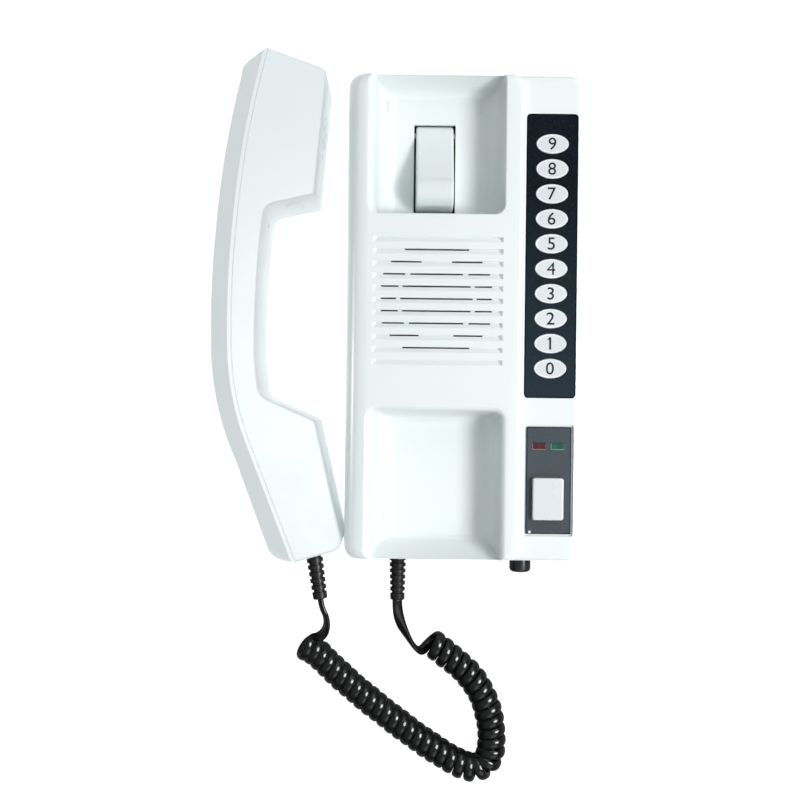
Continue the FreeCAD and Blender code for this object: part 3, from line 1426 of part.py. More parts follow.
def make_handset_boot():
    lean = flat_vector(PARTING_END) - flat_vector(MOUTH_FACE[1])
    slant = abs(math.pi / 2 - lean.getAngle(handset_boot_way()))
    neck = SHELL_WALL / math.cos(slant) + (BOOT_ROOT_R + 1.3) * math.tan(slant) + 0.25
    outline = boot_outline(HANDSET_BOOT_LENGTH, neck, BOOT_ROOT_R)
    return turned(outline, (BOOT_AT[0], BOOT_AT[1], 0), handset_boot_way())


def place_handset(shape):
    """Lays a handset piece on the table beside the base."""
    turn = FreeCAD.Rotation(Z_AXIS, -HANDSET_LEAN_DEG)
    shape.Placement = FreeCAD.Placement(Vector(HANDSET_AT[0], HANDSET_AT[1], HANDSET_Z), turn).multiply(
        shape.Placement
    )
    return shape


COIL_Z = COIL_R
COIL_ROUTE = [
    (-66.5, -144.0, 8.4),
    (-65.6, -148.0, 3.8),
    (-61.5, -152.8, 0.8),
    (-54.9, -159.1, 0.0),
    (-45.0, -167.8, 0.0),
    (-31.1, -178.7, 0.0),
    (-17.3, -188.9, 0.0),
    (-6.1, -196.2, 0.0),
    (2.1, -200.8, 0.0),
    (8.6, -202.8, 0.0),
    (13.8, -200.5, 0.0),
    (16.1, -195.3, 0.0),
    (16.5, -188.5, 0.0),
    (15.7, -180.1, 0.0),
    (12.5, -169.5, 0.0),
    (5.6, -159.2, 0.0),
    (-3.3, -152.0, 0.0),
    (-11.9, -145.3, 0.0),
]  # the last figure is the lift of the coil's axis above where it lies on the table
TAIL_OFF = 4.2  # a tail meets the coil's end face near its rim
BASE_TAIL_MIDDLE = [(-25.8, -134.9, 14.4), (-22.8, -142.6, 8.8)]
HANDSET_TAIL_MIDDLE = [(-58.8, -131.7, 22.8), (-59.6, -136.1, 21.5)]


def coil_points():
    return [Vector(x, y, COIL_Z + lift) for x, y, lift in COIL_ROUTE]


def coil_exit(end, inside, side, drop):
    """Where a tail meets the coil's end face, off its axis by TAIL_OFF, and the way out of the face."""
    out = (end - inside).normalize()
    across = (out.cross(Z_AXIS)).normalize() * side
    down = out.cross(across).normalize() * side
    return end + (across * math.cos(drop) + down * math.sin(drop)) * TAIL_OFF, out


def base_tail_route():
    start = Vector(BASE_CORD_X, -BODY_LENGTH / 2 - BOOT_LENGTH, PARTING_Z)
    coil = coil_points()
    meet, out = coil_exit(coil[-1], coil[-2], -1, 0.35)
    middle = [Vector(*p) for p in BASE_TAIL_MIDDLE]
    return [start, start - Y_AXIS * 4.4] + middle + [meet + out * 4.6, meet]


def handset_tail_route():
    tip = handset_boot_tip()
    way = FreeCAD.Rotation(Z_AXIS, -HANDSET_LEAN_DEG).multVec(handset_boot_way())
    coil = coil_points()
    meet, out = coil_exit(coil[0], coil[1], 1, 0.0)
    middle = [Vector(*p) for p in HANDSET_TAIL_MIDDLE]
    return [tip, tip + way * 4.0] + middle + [meet + out * 5.2, meet]


def cord_radii(points):
    """The largest even bend at each point of a route: 0.45 of the shorter run over tan of half the turn."""
    radii = [0.0]
    for before, point, after in zip(points, points[1:], points[2:]):
        shorter = min((point - before).Length, (after - point).Length)
        turn = (point - before).getAngle(after - point)
        radii.append(0.45 * shorter / math.tan(turn / 2))
    return radii + [0.0]


def cord_tube(name, points, radius):
    """A round tube along straight runs joined by tangent arcs."""
    radii = cord_radii(points)
    print(name, "bend radii", [round(r, 1) for r in radii[1:-1]])
    path = Part.Wire(rounded_edges(points, radii, False))
    way = (points[1] - points[0]).normalize()
    ring = Part.Wire(Part.makeCircle(radius, points[0], way))
    tube = path.makePipeShell([ring], True, False)
    ideal = math.pi * radius**2 * path.Length
    print(name, "length", round(path.Length, 1), "volume share", round(tube.Volume / ideal, 4))
    return tube


def handset_boot_tip():
    way = handset_boot_way()
    tip = Vector(BOOT_AT[0], BOOT_AT[1], 0) + way * HANDSET_BOOT_LENGTH
    turn = FreeCAD.Rotation(Z_AXIS, -HANDSET_LEAN_DEG)
    return turn.multVec(tip) + Vector(HANDSET_AT[0], HANDSET_AT[1], HANDSET_Z)


def make_cord_coil():
    return cord_tube("cord_coil", coil_points(), COIL_R)


def make_base_tail():
    return cord_tube("cord_tail_base", base_tail_route(), CORD_R)


def make_handset_tail():
    return cord_tube("cord_tail_handset", handset_tail_route(), CORD_R)


# ---------------------------------------------------------------- build


def build():
    os.makedirs("parts", exist_ok=True)
    parts = {
        "front_cover": make_front_cover(),
        "rear_cover": make_rear_cover(),
        "cover_screws": make_cover_screws(),
        "rubber_feet": make_rubber_feet(),
        "grille_cloth": make_grille_cloth(),
        "speaker_frame": make_speaker_frame(),
        "speaker_cone": make_speaker_cone(),
        "speaker_magnet": make_speaker_magnet(),
        "speaker_clips": make_speaker_clips(),
        "speaker_screws": make_speaker_screws(),
        "hook_lever": make_hook_lever(),
        "hook_pin": make_hook_pin(),
        "hook_spring": make_hook_spring(),
        "hook_switch": make_hook_switch(),
        "key_fascia": make_key_fascia(),
        "key_mat": make_key_mat(),
        "key_board": make_key_board(),
        "key_board_screws": make_key_board_screws(),
        "call_fascia": make_call_fascia(),
        "lamp_window_red": make_lamp_window(LAMP_XS[0]),
        "lamp_window_green": make_lamp_window(LAMP_XS[1]),
        "lamp_diodes": make_lamp_diodes(),
        "call_button": make_call_button(),
        "call_switch": make_call_switch(),
        "main_board": make_main_board(),
        "board_screws": make_board_screws(),
        "radio_shield": make_radio_shield(),
        "capacitors": make_capacitors(),
        "volume_pot": make_volume_pot(),
        "volume_shaft": make_volume_shaft(),
        "volume_knob": make_volume_knob(),
        "power_inlet": make_power_inlet(),
        "base_cord_boot": make_base_boot(),
        "cord_tail_base": make_base_tail(),
        "cord_coil": make_cord_coil(),
        "cord_tail_handset": make_handset_tail(),
    }
    for digit, y in zip(range(KEY_COUNT - 1, -1, -1), key_rows()):
        parts["digit_key_" + str(digit)] = make_digit_key(y)
    handset = {
        "handset_front": make_handset_front(),
        "handset_back": make_handset_back(),
        "handset_screws": make_handset_screws(),
        "handset_weight": make_handset_weight(),
        "earpiece": make_earpiece(),
        "microphone": make_microphone(),
        "microphone_holder": make_mic_holder(),
        "handset_cord_boot": make_handset_boot(),
    }
    for name, shape in handset.items():
        parts[name] = place_handset(shape)
    for name, shape in parts.items():
        save(name, shape)


build()
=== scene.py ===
import json
import math

import bmesh
import bpy
from mathutils import Matrix, Vector

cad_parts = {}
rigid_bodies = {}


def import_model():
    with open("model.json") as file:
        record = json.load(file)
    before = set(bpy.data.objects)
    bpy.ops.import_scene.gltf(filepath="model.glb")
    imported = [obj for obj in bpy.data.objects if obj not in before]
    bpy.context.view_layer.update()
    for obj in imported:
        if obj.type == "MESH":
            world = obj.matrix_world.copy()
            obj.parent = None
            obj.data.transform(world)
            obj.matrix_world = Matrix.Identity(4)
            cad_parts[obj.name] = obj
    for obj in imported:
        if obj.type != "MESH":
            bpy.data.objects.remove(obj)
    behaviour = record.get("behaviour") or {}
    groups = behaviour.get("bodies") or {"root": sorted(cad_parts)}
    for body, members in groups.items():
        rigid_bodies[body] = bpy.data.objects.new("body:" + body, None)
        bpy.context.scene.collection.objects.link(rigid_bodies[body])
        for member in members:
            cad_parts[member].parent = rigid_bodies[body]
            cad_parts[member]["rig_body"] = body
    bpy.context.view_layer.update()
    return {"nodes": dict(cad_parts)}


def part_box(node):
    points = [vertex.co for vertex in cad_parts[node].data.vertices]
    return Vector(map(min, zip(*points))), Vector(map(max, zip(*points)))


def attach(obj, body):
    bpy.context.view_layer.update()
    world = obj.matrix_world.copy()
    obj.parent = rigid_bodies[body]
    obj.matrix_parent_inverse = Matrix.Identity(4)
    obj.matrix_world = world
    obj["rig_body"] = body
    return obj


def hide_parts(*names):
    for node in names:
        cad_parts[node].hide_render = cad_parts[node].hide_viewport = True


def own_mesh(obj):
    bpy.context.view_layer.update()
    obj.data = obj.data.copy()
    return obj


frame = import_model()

# Lengths are in millimetres, and MM turns them into Blender's metres. The camera, the lamps, the
# table and the depth of a surface's relief are in metres.
MM = 0.001

TABLE = -0.0008  # height of the table's top
MERGE = 2e-6  # corners of a node's mesh nearer than this are one, in metres
CREASE = 32.0  # degrees past which an edge stays sharp

FASCIA_CORNER = 1.7
PANEL_CORNER = 1.0
OVERLAY_EDGE = (0.35, 0.6)  # how far from its edge an overlay's line begins to fade, and ends
LENS_HIGHLIGHT_BANDS = (1.35, 1.3)  # how far the pale left and lower strips of painted highlight on a lamp window reach
LENS_HIGHLIGHT_FULL = 1.0  # how far that painted highlight stays at full strength
CHIP_SHIFT = (-7.9, -22.1)  # from the middle of the call fascia to a chip in its print
CHIP_RADIUS = 0.55
CHIP_TONE = (0.72, 0.78, 0.78, 1.0)

KEY_FLANGE = (1.1, 0.8)  # past the cap on each side
KEY_FLANGE_THICK = 0.9
KEY_SIDES = 56
KEY_CREASE = 48.0
# How far the cap's outline lies inside its wall and below its top, from the wall over the rim.
KEY_ROLL = ((0.0, 0.28), (0.09, 0.08), (0.28, 0.0), (0.52, 0.04), (0.72, 0.13))
KEY_FACE_BAND = 1.5  # width of the slope round the middle of the face
KEY_FACE_RISE = 0.05

DIGIT_HEIGHT = 5.3
DIGIT_WIDEN = 1.03
DIGIT_THICK = 0.03
DIGIT_WEIGHT = 0.006  # of the outline, as a share of the type's size
DIGIT_SHIFT = (-0.1, 0.05)  # from the middle of the key
DIGIT_DROP = 0.075  # below the top of the key's rim
FLAG_SHIFT = (-0.62, 2.08)  # from the middle of the key to the short stroke at the head of the 1
FLAG_SIZE = (1.35, 0.5)
FLAG_TURN = 40.0


def spot(node):
    """Middle and half size of a node's box, in millimetres."""
    low, high = [Vector(corner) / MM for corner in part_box(node)]
    return (low + high) / 2, (high - low) / 2


FASCIA_AT, FASCIA_HALF = spot("key_fascia")
PANEL_AT, PANEL_HALF = spot("call_fascia")
RED_AT, LENS_HALF = spot("lamp_window_red")
GREEN_AT, _ = spot("lamp_window_green")


# ---------------------------------------------------------------- shader nodes


def feed(tree, value, target):
    """Links another node's output to an input, or gives the input a plain value."""
    if isinstance(value, bpy.types.NodeSocket):
        tree.links.new(value, target)
    else:
        target.default_value = value


def math_node(tree, operation, a, b=None, clamp=False):
    node = tree.nodes.new("ShaderNodeMath")
    node.operation = operation
    node.use_clamp = clamp
    feed(tree, a, node.inputs[0])
    if b is not None:
        feed(tree, b, node.inputs[1])
    return node.outputs[0]


def noise(tree, where, scale, detail=3.0, rough=0.55, distortion=0.0):
    node = tree.nodes.new("ShaderNodeTexNoise")
    settings = {"Vector": where, "Scale": scale, "Detail": detail, "Roughness": rough}
    for name, value in {**settings, "Distortion": distortion}.items():
        feed(tree, value, node.inputs[name])
    return node.outputs["Fac"]


def waves(tree, where, scale, axis="X", distortion=0.0):
    node = tree.nodes.new("ShaderNodeTexWave")
    node.bands_direction = axis
    for name, value in {"Vector": where, "Scale": scale, "Distortion": distortion}.items():
        feed(tree, value, node.inputs[name])
    return node.outputs["Fac"]


def spread(tree, value, low, high, to_low=0.0, to_high=1.0, smooth=False):
    """Maps a run of values to another, held at its ends."""
    node = tree.nodes.new("ShaderNodeMapRange")
    node.clamp = True
    if smooth:
        node.interpolation_type = "SMOOTHSTEP"
    settings = {"Value": value, "From Min": low, "From Max": high, "To Min": to_low, "To Max": to_high}
    for name, number in settings.items():
        feed(tree, number, node.inputs[name])
    return node.outputs["Result"]


def blend(tree, share, a, b, kind="RGBA"):
    """A mix of two colours or, where kind is FLOAT, of two values."""
    node = tree.nodes.new("ShaderNodeMix")
    node.data_type = kind
    for name, value in (("Factor", share), ("A", a), ("B", b)):
        feed(tree, value, [s for s in node.inputs if s.name == name and s.enabled][0])
    return [s for s in node.outputs if s.enabled][0]


def object_place(tree):
    return tree.nodes.new("ShaderNodeTexCoord").outputs["Object"]


def along_axes(tree):
    """The object coordinates and their three parts."""
    where = object_place(tree)
    parts = tree.nodes.new("ShaderNodeSeparateXYZ")
    tree.links.new(where, parts.inputs[0])
    return where, parts.outputs


def corner_reach(tree, sides):
    """Length of the slant over two sides that are square to each other."""
    squares = [math_node(tree, "MULTIPLY", side, side) for side in sides]
    return math_node(tree, "SQRT", math_node(tree, "ADD", squares[0], squares[1]))


def edge_distance(tree, parts, middle, half, corner):
    """Distance outside a rounded rectangle, less than 0 inside it."""
    sides = []
    for part, centre, length in zip(parts, middle, half):
        off = math_node(tree, "ABSOLUTE", math_node(tree, "SUBTRACT", part, centre))
        sides.append(math_node(tree, "SUBTRACT", off, math_node(tree, "SUBTRACT", length, corner)))
    reach = corner_reach(tree, [math_node(tree, "MAXIMUM", side, 0.0) for side in sides])
    inside = math_node(tree, "MINIMUM", math_node(tree, "MAXIMUM", sides[0], sides[1]), 0.0)
    return math_node(tree, "SUBTRACT", math_node(tree, "ADD", reach, inside), corner)


def near_point(tree, parts, place, radius):
    """1 within radius of a place seen from the front, 0 past it, with a soft edge."""
    off = [math_node(tree, "SUBTRACT", parts[axis], place[axis] * MM) for axis in (0, 1)]
    return spread(tree, corner_reach(tree, off), radius * MM * 1.25, radius * MM * 0.75)


# ---------------------------------------------------------------- node groups


def new_group(name, colours, values, results):
    """A node group with named colour and value inputs, the sockets to read and those to fill."""
    group = bpy.data.node_groups.new(name, "ShaderNodeTree")
    for key in (*colours, *values):
        kind = "NodeSocketColor" if key in colours else "NodeSocketFloat"
        group.interface.new_socket(name=key, in_out="INPUT", socket_type=kind)
    for key in results:
        kind = "NodeSocketColor" if key == "Color" else "NodeSocketFloat"
        group.interface.new_socket(name=key, in_out="OUTPUT", socket_type=kind)
    inlet = group.nodes.new("NodeGroupInput")
    outlet = group.nodes.new("NodeGroupOutput")
    return group, inlet.outputs, outlet.inputs


def place_group(tree, group, **values):
    """Puts a node group into a tree with its own values, and gives back its outputs."""
    node = tree.nodes.new("ShaderNodeGroup")
    node.node_tree = group
    for key, value in values.items():
        feed(tree, value, node.inputs[key.replace("_", " ")])
    return node.outputs


def moulded_skin_group():
    """Colour drift, faint handling marks and fine mould grain of injection moulded plastic."""
    values = ("Drift", "Gloss Low", "Gloss High")
    results = ("Color", "Roughness", "Height")
    group, inlet, outlet = new_group("moulded skin", ("Tone", "Shade"), values, results)
    where = object_place(group)
    cloud = noise(group, where, scale=16.0, detail=2.0, rough=0.5, distortion=0.3)
    broad = spread(group, cloud, low=0.35, high=0.7, smooth=True)
    smears = noise(group, where, scale=60.0, detail=4.0, rough=0.6)
    marks = spread(group, smears, low=0.35, high=0.75, smooth=True)
    share = math_node(group, "MULTIPLY", broad, inlet["Drift"], clamp=True)
    grain = math_node(group, "MULTIPLY", noise(group, where, scale=2600.0, detail=2.0, rough=0.5), 0.35)
    ripple = math_node(group, "MULTIPLY", noise(group, where, scale=120.0, detail=1.0, rough=0.4), 0.65)
    feed(group, blend(group, share, inlet["Tone"], inlet["Shade"]), outlet["Color"])
    feed(group, blend(group, marks, inlet["Gloss Low"], inlet["Gloss High"], "FLOAT"), outlet["Roughness"])
    feed(group, math_node(group, "ADD", grain, ripple), outlet["Height"])
    return group


def dust_group():
    """A pale or dark film that lies thickest in patches, as dust does."""
    group, inlet, outlet = new_group("settled dust", ("Color", "Dust"), ("Amount", "Scale"), ("Color",))
    speck = noise(group, object_place(group), inlet["Scale"], detail=4.0, rough=0.5)
    film = spread(group, speck, low=0.48, high=0.7)
    share = math_node(group, "MULTIPLY", film, inlet["Amount"], clamp=True)
    feed(group, blend(group, share, inlet["Color"], inlet["Dust"]), outlet["Color"])
    return group


def metal_grain_group():
    """Uneven sheen of plated or tinned sheet."""
    values = ("Scale", "Gloss Low", "Gloss High")
    results = ("Color", "Roughness", "Height")
    group, inlet, outlet = new_group("metal grain", ("Tone", "Shade"), values, results)
    grain = noise(group, object_place(group), inlet["Scale"], detail=6.0, rough=0.7)
    feed(group, blend(group, grain, inlet["Tone"], inlet["Shade"]), outlet["Color"])
    feed(group, spread(group, grain, 0.3, 0.7, inlet["Gloss Low"], inlet["Gloss High"]), outlet["Roughness"])
    feed(group, grain, outlet["Height"])
    return group


def plain_weave_group():
    """Plain weave of two crossing sets of waves."""
    group, inlet, outlet = new_group("plain weave", ("Tone", "Light"), ("Scale",), ("Color", "Height"))
    where = object_place(group)
    threads = [waves(group, where, inlet["Scale"], axis, distortion=0.3) for axis in ("X", "Y")]
    weave = math_node(group, "MULTIPLY", threads[0], threads[1])
    feed(group, blend(group, weave, inlet["Tone"], inlet["Light"]), outlet["Color"])
    feed(group, weave, outlet["Height"])
    return group


def overlay_print_group():
    """A print with painted light that makes it paler towards its foot, with specks of wear and a dark line at
    its edge.
    """
    tones = ("Color", "Low Tone", "Worn Tone", "Edge Tone")
    values = ("Middle X", "Middle Y", "Half X", "Half Y", "Corner")
    group, inlet, outlet = new_group("overlay print and painted light", tones, values, ("Color",))
    where, parts = along_axes(group)
    # Painted light: the print gets paler from three quarters of its height down to its foot.
    painted_light_top = math_node(group, "ADD", inlet["Middle Y"], math_node(group, "MULTIPLY", inlet["Half Y"], 0.5))
    foot = math_node(group, "SUBTRACT", inlet["Middle Y"], inlet["Half Y"])
    painted_light_paling = blend(group, spread(group, parts[1], painted_light_top, foot), inlet["Color"], inlet["Low Tone"])
    grit = noise(group, where, scale=1500.0, detail=3.0, rough=0.6)
    speck = spread(group, grit, low=0.45, high=0.75, to_high=0.3)
    worn = blend(group, speck, painted_light_paling, inlet["Worn Tone"])
    middle = (inlet["Middle X"], inlet["Middle Y"])
    half = (inlet["Half X"], inlet["Half Y"])
    away = edge_distance(group, parts, middle, half, inlet["Corner"])
    line = spread(group, away, -OVERLAY_EDGE[1] * MM, -OVERLAY_EDGE[0] * MM)
    feed(group, blend(group, line, worn, inlet["Edge Tone"]), outlet["Color"])
    return group


def ribbed_lens_group():
    """Cloudy tint over fine ribs, with a painted highlight that makes it paler along the left and lower edges
    of the window.
    """
    tones = ("Deep", "Pale", "Edge")
    group, inlet, outlet = new_group("ribbed lens and painted edge highlight", tones, ("Left", "Foot"), ("Color", "Roughness", "Height"))
    where, parts = along_axes(group)
    cloud = spread(group, noise(group, where, scale=700.0, detail=3.0, rough=0.6), low=0.35, high=0.75)
    highlight_bands = []
    for part, side, width in zip(parts, (inlet["Left"], inlet["Foot"]), LENS_HIGHLIGHT_BANDS):
        outer = math_node(group, "ADD", side, width * MM)
        inner = math_node(group, "ADD", side, LENS_HIGHLIGHT_FULL * MM)
        highlight_bands.append(spread(group, part, outer, inner))
    # Painted highlight: the pale edge colour laid along the left and lower edges of the window.
    rim = math_node(group, "MULTIPLY", math_node(group, "MAXIMUM", highlight_bands[0], highlight_bands[1]), 0.75)
    body = blend(group, cloud, inlet["Deep"], inlet["Pale"])
    feed(group, blend(group, rim, body, inlet["Edge"]), outlet["Color"])
    feed(group, spread(group, cloud, 0.0, 1.0, to_low=0.16, to_high=0.3), outlet["Roughness"])
    feed(group, waves(group, where, scale=420.0), outlet["Height"])
    return group


SKIN = moulded_skin_group()
DUST = dust_group()
METAL_GRAIN = metal_grain_group()
WEAVE = plain_weave_group()
OVERLAY_PRINT_AND_LIGHT = overlay_print_group()
LENS_TINT_AND_HIGHLIGHT = ribbed_lens_group()


# ---------------------------------------------------------------- materials


def rgba(colour, times=1.0):
    return (*(part * times for part in colour), 1.0)


def new_material(name, **fixed):
    """A material with a Principled shader, whose plain values go on its own sockets."""
    made = bpy.data.materials.new(name)
    made.use_nodes = True
    shader = made.node_tree.nodes["Principled BSDF"]
    for key, value in fixed.items():
        shader.inputs[key.replace("_", " ")].default_value = value
    return made, made.node_tree, shader


def lay_surface(tree, shader, colour, rough, height, bump, depth):
    """Gives a shader its colour, its roughness and the relief of its surface."""
    feed(tree, colour, shader.inputs["Base Color"])
    feed(tree, rough, shader.inputs["Roughness"])
    relief = tree.nodes.new("ShaderNodeBump")
    relief.inputs["Strength"].default_value = bump
    relief.inputs["Distance"].default_value = depth
    feed(tree, height, relief.inputs["Height"])
    feed(tree, relief.outputs["Normal"], shader.inputs["Normal"])


def moulded(name, tone, shade, drift, gloss, bump=0.05, depth=0.00004, paint=None, sheen=0.5):
    """Moulded plastic. paint may lay a print or dust over the colour; sheen is its mirror part."""
    made, tree, shader = new_material(name, Specular_IOR_Level=sheen)
    tones = {"Tone": rgba(tone), "Shade": rgba(shade)}
    skin = place_group(tree, SKIN, **tones, Drift=drift, Gloss_Low=gloss[0], Gloss_High=gloss[1])
    colour = paint(tree, skin["Color"]) if paint else skin["Color"]
    lay_surface(tree, shader, colour, skin["Roughness"], skin["Height"], bump, depth)
    return made


def dusted(amount, dust, scale):
    """Paint for moulded(): settled dust over the colour."""

    def paint(tree, colour):
        return place_group(tree, DUST, Color=colour, Dust=rgba(dust), Amount=amount, Scale=scale)["Color"]

    return paint


def printed_fascia(name, tone, lit_foot_tone, edge, middle, half, corner, chip=None):
    """A printed plastic overlay, whose place and size say where its edge and its foot are. The tone that it
    turns to towards its foot is painted light.
    """
    tones = {"Low Tone": rgba(lit_foot_tone), "Worn Tone": rgba(lit_foot_tone, times=1.8), "Edge Tone": rgba(edge)}
    place = {"Middle X": middle.x, "Middle Y": middle.y, "Half X": half.x, "Half Y": half.y, "Corner": corner}
    place = {key: length * MM for key, length in place.items()}

    def paint(tree, colour):
        printed = place_group(tree, OVERLAY_PRINT_AND_LIGHT, Color=colour, **tones, **place)["Color"]
        if chip is None:
            return printed
        return blend(tree, near_point(tree, along_axes(tree)[1], chip, CHIP_RADIUS), printed, CHIP_TONE)

    shade = tuple(part * 1.25 for part in tone)
    return moulded(name, tone, shade, 0.8, gloss=(0.2, 0.28), depth=0.00003, paint=paint, sheen=0.08)


def metal(name, tone, gloss, scale):
    made, tree, shader = new_material(name, Metallic=1.0)
    tones = {"Tone": rgba(tone), "Shade": rgba(tone, times=0.78)}
    grain = place_group(tree, METAL_GRAIN, **tones, Scale=scale, Gloss_Low=gloss[0], Gloss_High=gloss[1])
    lay_surface(tree, shader, grain["Color"], grain["Roughness"], grain["Height"], bump=0.12, depth=0.00003)
    return made


def woven(name, tone, light, pitch):
    """Woven or pressed fibres in crossing rows, which lie about a third of pitch apart."""
    made, tree, shader = new_material(name)
    weave = place_group(tree, WEAVE, Tone=rgba(tone), Light=rgba(light), Scale=1.0 / (pitch * MM))
    lay_surface(tree, shader, weave["Color"], 0.85, weave["Height"], bump=0.5, depth=0.0001)
    return made


def lens(name, deep, pale, edge, middle, half):
    """Tinted clear plastic of a lamp window, with a painted highlight in its edge colour along its left and
    lower edges.
    """
    clear = {"Coat Weight": 0.2, "Coat Roughness": 0.1, "Transmission Weight": 0.15, "IOR": 1.49}
    made, tree, shader = new_material(name, **clear)
    tones = {"Deep": rgba(deep), "Pale": rgba(pale), "Edge": rgba(edge)}
    sides = {"Left": (middle.x - half.x) * MM, "Foot": (middle.y - half.y) * MM}
    tint = place_group(tree, LENS_TINT_AND_HIGHLIGHT, **tones, **sides)
    lay_surface(tree, shader, tint["Color"], tint["Roughness"], tint["Height"], bump=0.2, depth=0.00004)
    return made


def cord_sleeve():
    """Glossy black cord with a faint haze."""
    made, tree, shader = new_material("cord sleeve", IOR=1.4)
    where = object_place(tree)
    film = noise(tree, where, scale=240.0, detail=4.0, rough=0.6, distortion=0.5)
    haze = spread(tree, film, low=0.35, high=0.75)
    colour = blend(tree, haze, (0.0022, 0.0024, 0.0024, 1.0), (0.005, 0.0053, 0.0055, 1.0))
    gloss = spread(tree, haze, 0.0, 1.0, to_low=0.15, to_high=0.22)
    grain = noise(tree, where, scale=1300.0, detail=2.0)
    lay_surface(tree, shader, colour, gloss, grain, bump=0.08, depth=0.00005)
    return made


# A moulding has its tone, the shade that it drifts to, and how much of that shade it takes.
WHITE = moulded("cool white moulding", (0.775, 0.825, 0.825), (0.755, 0.805, 0.805), 0.6, gloss=(0.30, 0.37))
HANDSET_WHITE = moulded("handset white", (0.765, 0.825, 0.835), (0.75, 0.81, 0.82), 0.6, gloss=(0.28, 0.35))
WHITE_LEVER = moulded("lever white", (0.735, 0.785, 0.785), (0.69, 0.745, 0.75), 0.6, gloss=(0.3, 0.42))
BUTTON_WHITE = moulded("button white", (0.68, 0.725, 0.755), (0.655, 0.70, 0.735), 0.5, gloss=(0.26, 0.34))
# The key's rim takes a whiter copy of the key's colour: a painted highlight round its face.
KEY_RIM_HIGHLIGHT = moulded("key rim with painted highlight", (0.80, 0.83, 0.85), (0.77, 0.80, 0.82), 0.5, gloss=(0.24, 0.34))
KEY_FACE = moulded(
    "key face silver", (0.68, 0.72, 0.75), (0.63, 0.67, 0.70), 0.9, gloss=(0.34, 0.46), bump=0.2,
    depth=0.00003, paint=dusted(0.3, (0.50, 0.54, 0.56), 2200.0),
)
PRINT_BLACK = moulded(
    "digit print", (0.010, 0.014, 0.016), (0.018, 0.022, 0.024), 0.6, gloss=(0.4, 0.5), sheen=0.2,
)
# The second tone of each fascia is painted light towards the foot of its print.
FASCIA_BLACK = printed_fascia(
    "key fascia black", tone=(0.0028, 0.0052, 0.0085), lit_foot_tone=(0.019, 0.030, 0.039),
    edge=(0.001, 0.002, 0.003), middle=FASCIA_AT, half=FASCIA_HALF, corner=FASCIA_CORNER,
)
FASCIA_SLATE = printed_fascia(
    "call fascia slate", tone=(0.058, 0.071, 0.081), lit_foot_tone=(0.062, 0.076, 0.086),
    edge=(0.018, 0.024, 0.03), middle=PANEL_AT, half=PANEL_HALF, corner=PANEL_CORNER,
    chip=(PANEL_AT.x + CHIP_SHIFT[0], PANEL_AT.y + CHIP_SHIFT[1]),
)
RUBBER = moulded(
    "boot black", (0.008, 0.008, 0.009), (0.015, 0.015, 0.016), 0.7, gloss=(0.26, 0.38), bump=0.1,
    paint=dusted(0.25, (0.03, 0.03, 0.03), 900.0), sheen=0.2,
)
BLACK = moulded(
    "moulded black", (0.007, 0.007, 0.009), (0.013, 0.013, 0.015), 0.6, gloss=(0.22, 0.34), bump=0.08,
)
FOOT_RUBBER = moulded(
    "foot rubber", (0.03, 0.03, 0.031), (0.05, 0.049, 0.047), 0.8, gloss=(0.6, 0.8), bump=0.2,
    depth=0.00005, paint=dusted(0.5, (0.13, 0.12, 0.11), 700.0),
)
MAT_RUBBER = moulded("key mat silicone", (0.42, 0.43, 0.44), (0.36, 0.37, 0.38), 0.5, gloss=(0.5, 0.6))
CAN_BLUE = moulded("capacitor sleeve", (0.03, 0.05, 0.16), (0.02, 0.03, 0.11), 0.6, gloss=(0.25, 0.4))
BOARD = moulded(
    "board mask", (0.06, 0.17, 0.07), (0.04, 0.12, 0.05), 0.9, gloss=(0.3, 0.45), bump=0.3, depth=0.00005,
)
CLOUDED = moulded("diode resin", (0.70, 0.70, 0.64), (0.62, 0.62, 0.56), 0.6, gloss=(0.3, 0.4))
STEEL = metal("zinc plate", (0.62, 0.62, 0.60), gloss=(0.22, 0.4), scale=260.0)
TIN = metal("tinned sheet", (0.66, 0.67, 0.66), gloss=(0.3, 0.5), scale=120.0)
CLOTH = woven("grille cloth", (0.004, 0.004, 0.004), (0.03, 0.03, 0.032), pitch=0.8)
PAPER = woven("cone paper", (0.02, 0.019, 0.018), (0.035, 0.034, 0.032), pitch=1.5)
# The edge colour of each lamp lens is a painted highlight along its left and lower edges.
RED_LENS = lens(
    "red lamp lens", deep=(0.07, 0.010, 0.014), pale=(0.11, 0.018, 0.023), edge=(0.45, 0.28, 0.29),
    middle=RED_AT, half=LENS_HALF,
)
GREEN_LENS = lens(
    "green lamp lens", deep=(0.005, 0.085, 0.055), pale=(0.009, 0.13, 0.09), edge=(0.28, 0.50, 0.42),
    middle=GREEN_AT, half=LENS_HALF,
)
SLEEVE = cord_sleeve()


# ---------------------------------------------------------------- pieces


def add_piece(name, mesh, materials, body, stands_for=()):
    made = bpy.data.objects.new(name, mesh)
    bpy.context.scene.collection.objects.link(made)
    for material in materials:
        made.data.materials.append(material)
    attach(made, body)
    if stands_for:
        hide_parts(*stands_for)
    return made


def mesh_from(bm, name):
    mesh = bpy.data.meshes.new(name)
    bm.to_mesh(mesh)
    bm.free()
    return mesh


def smooth_faces(bm, crease):
    """Smooth shading, with the edges past crease degrees left sharp."""
    for face in bm.faces:
        face.smooth = True
    for edge in bm.edges:
        edge.smooth = edge.is_manifold and edge.calc_face_angle() < math.radians(crease)


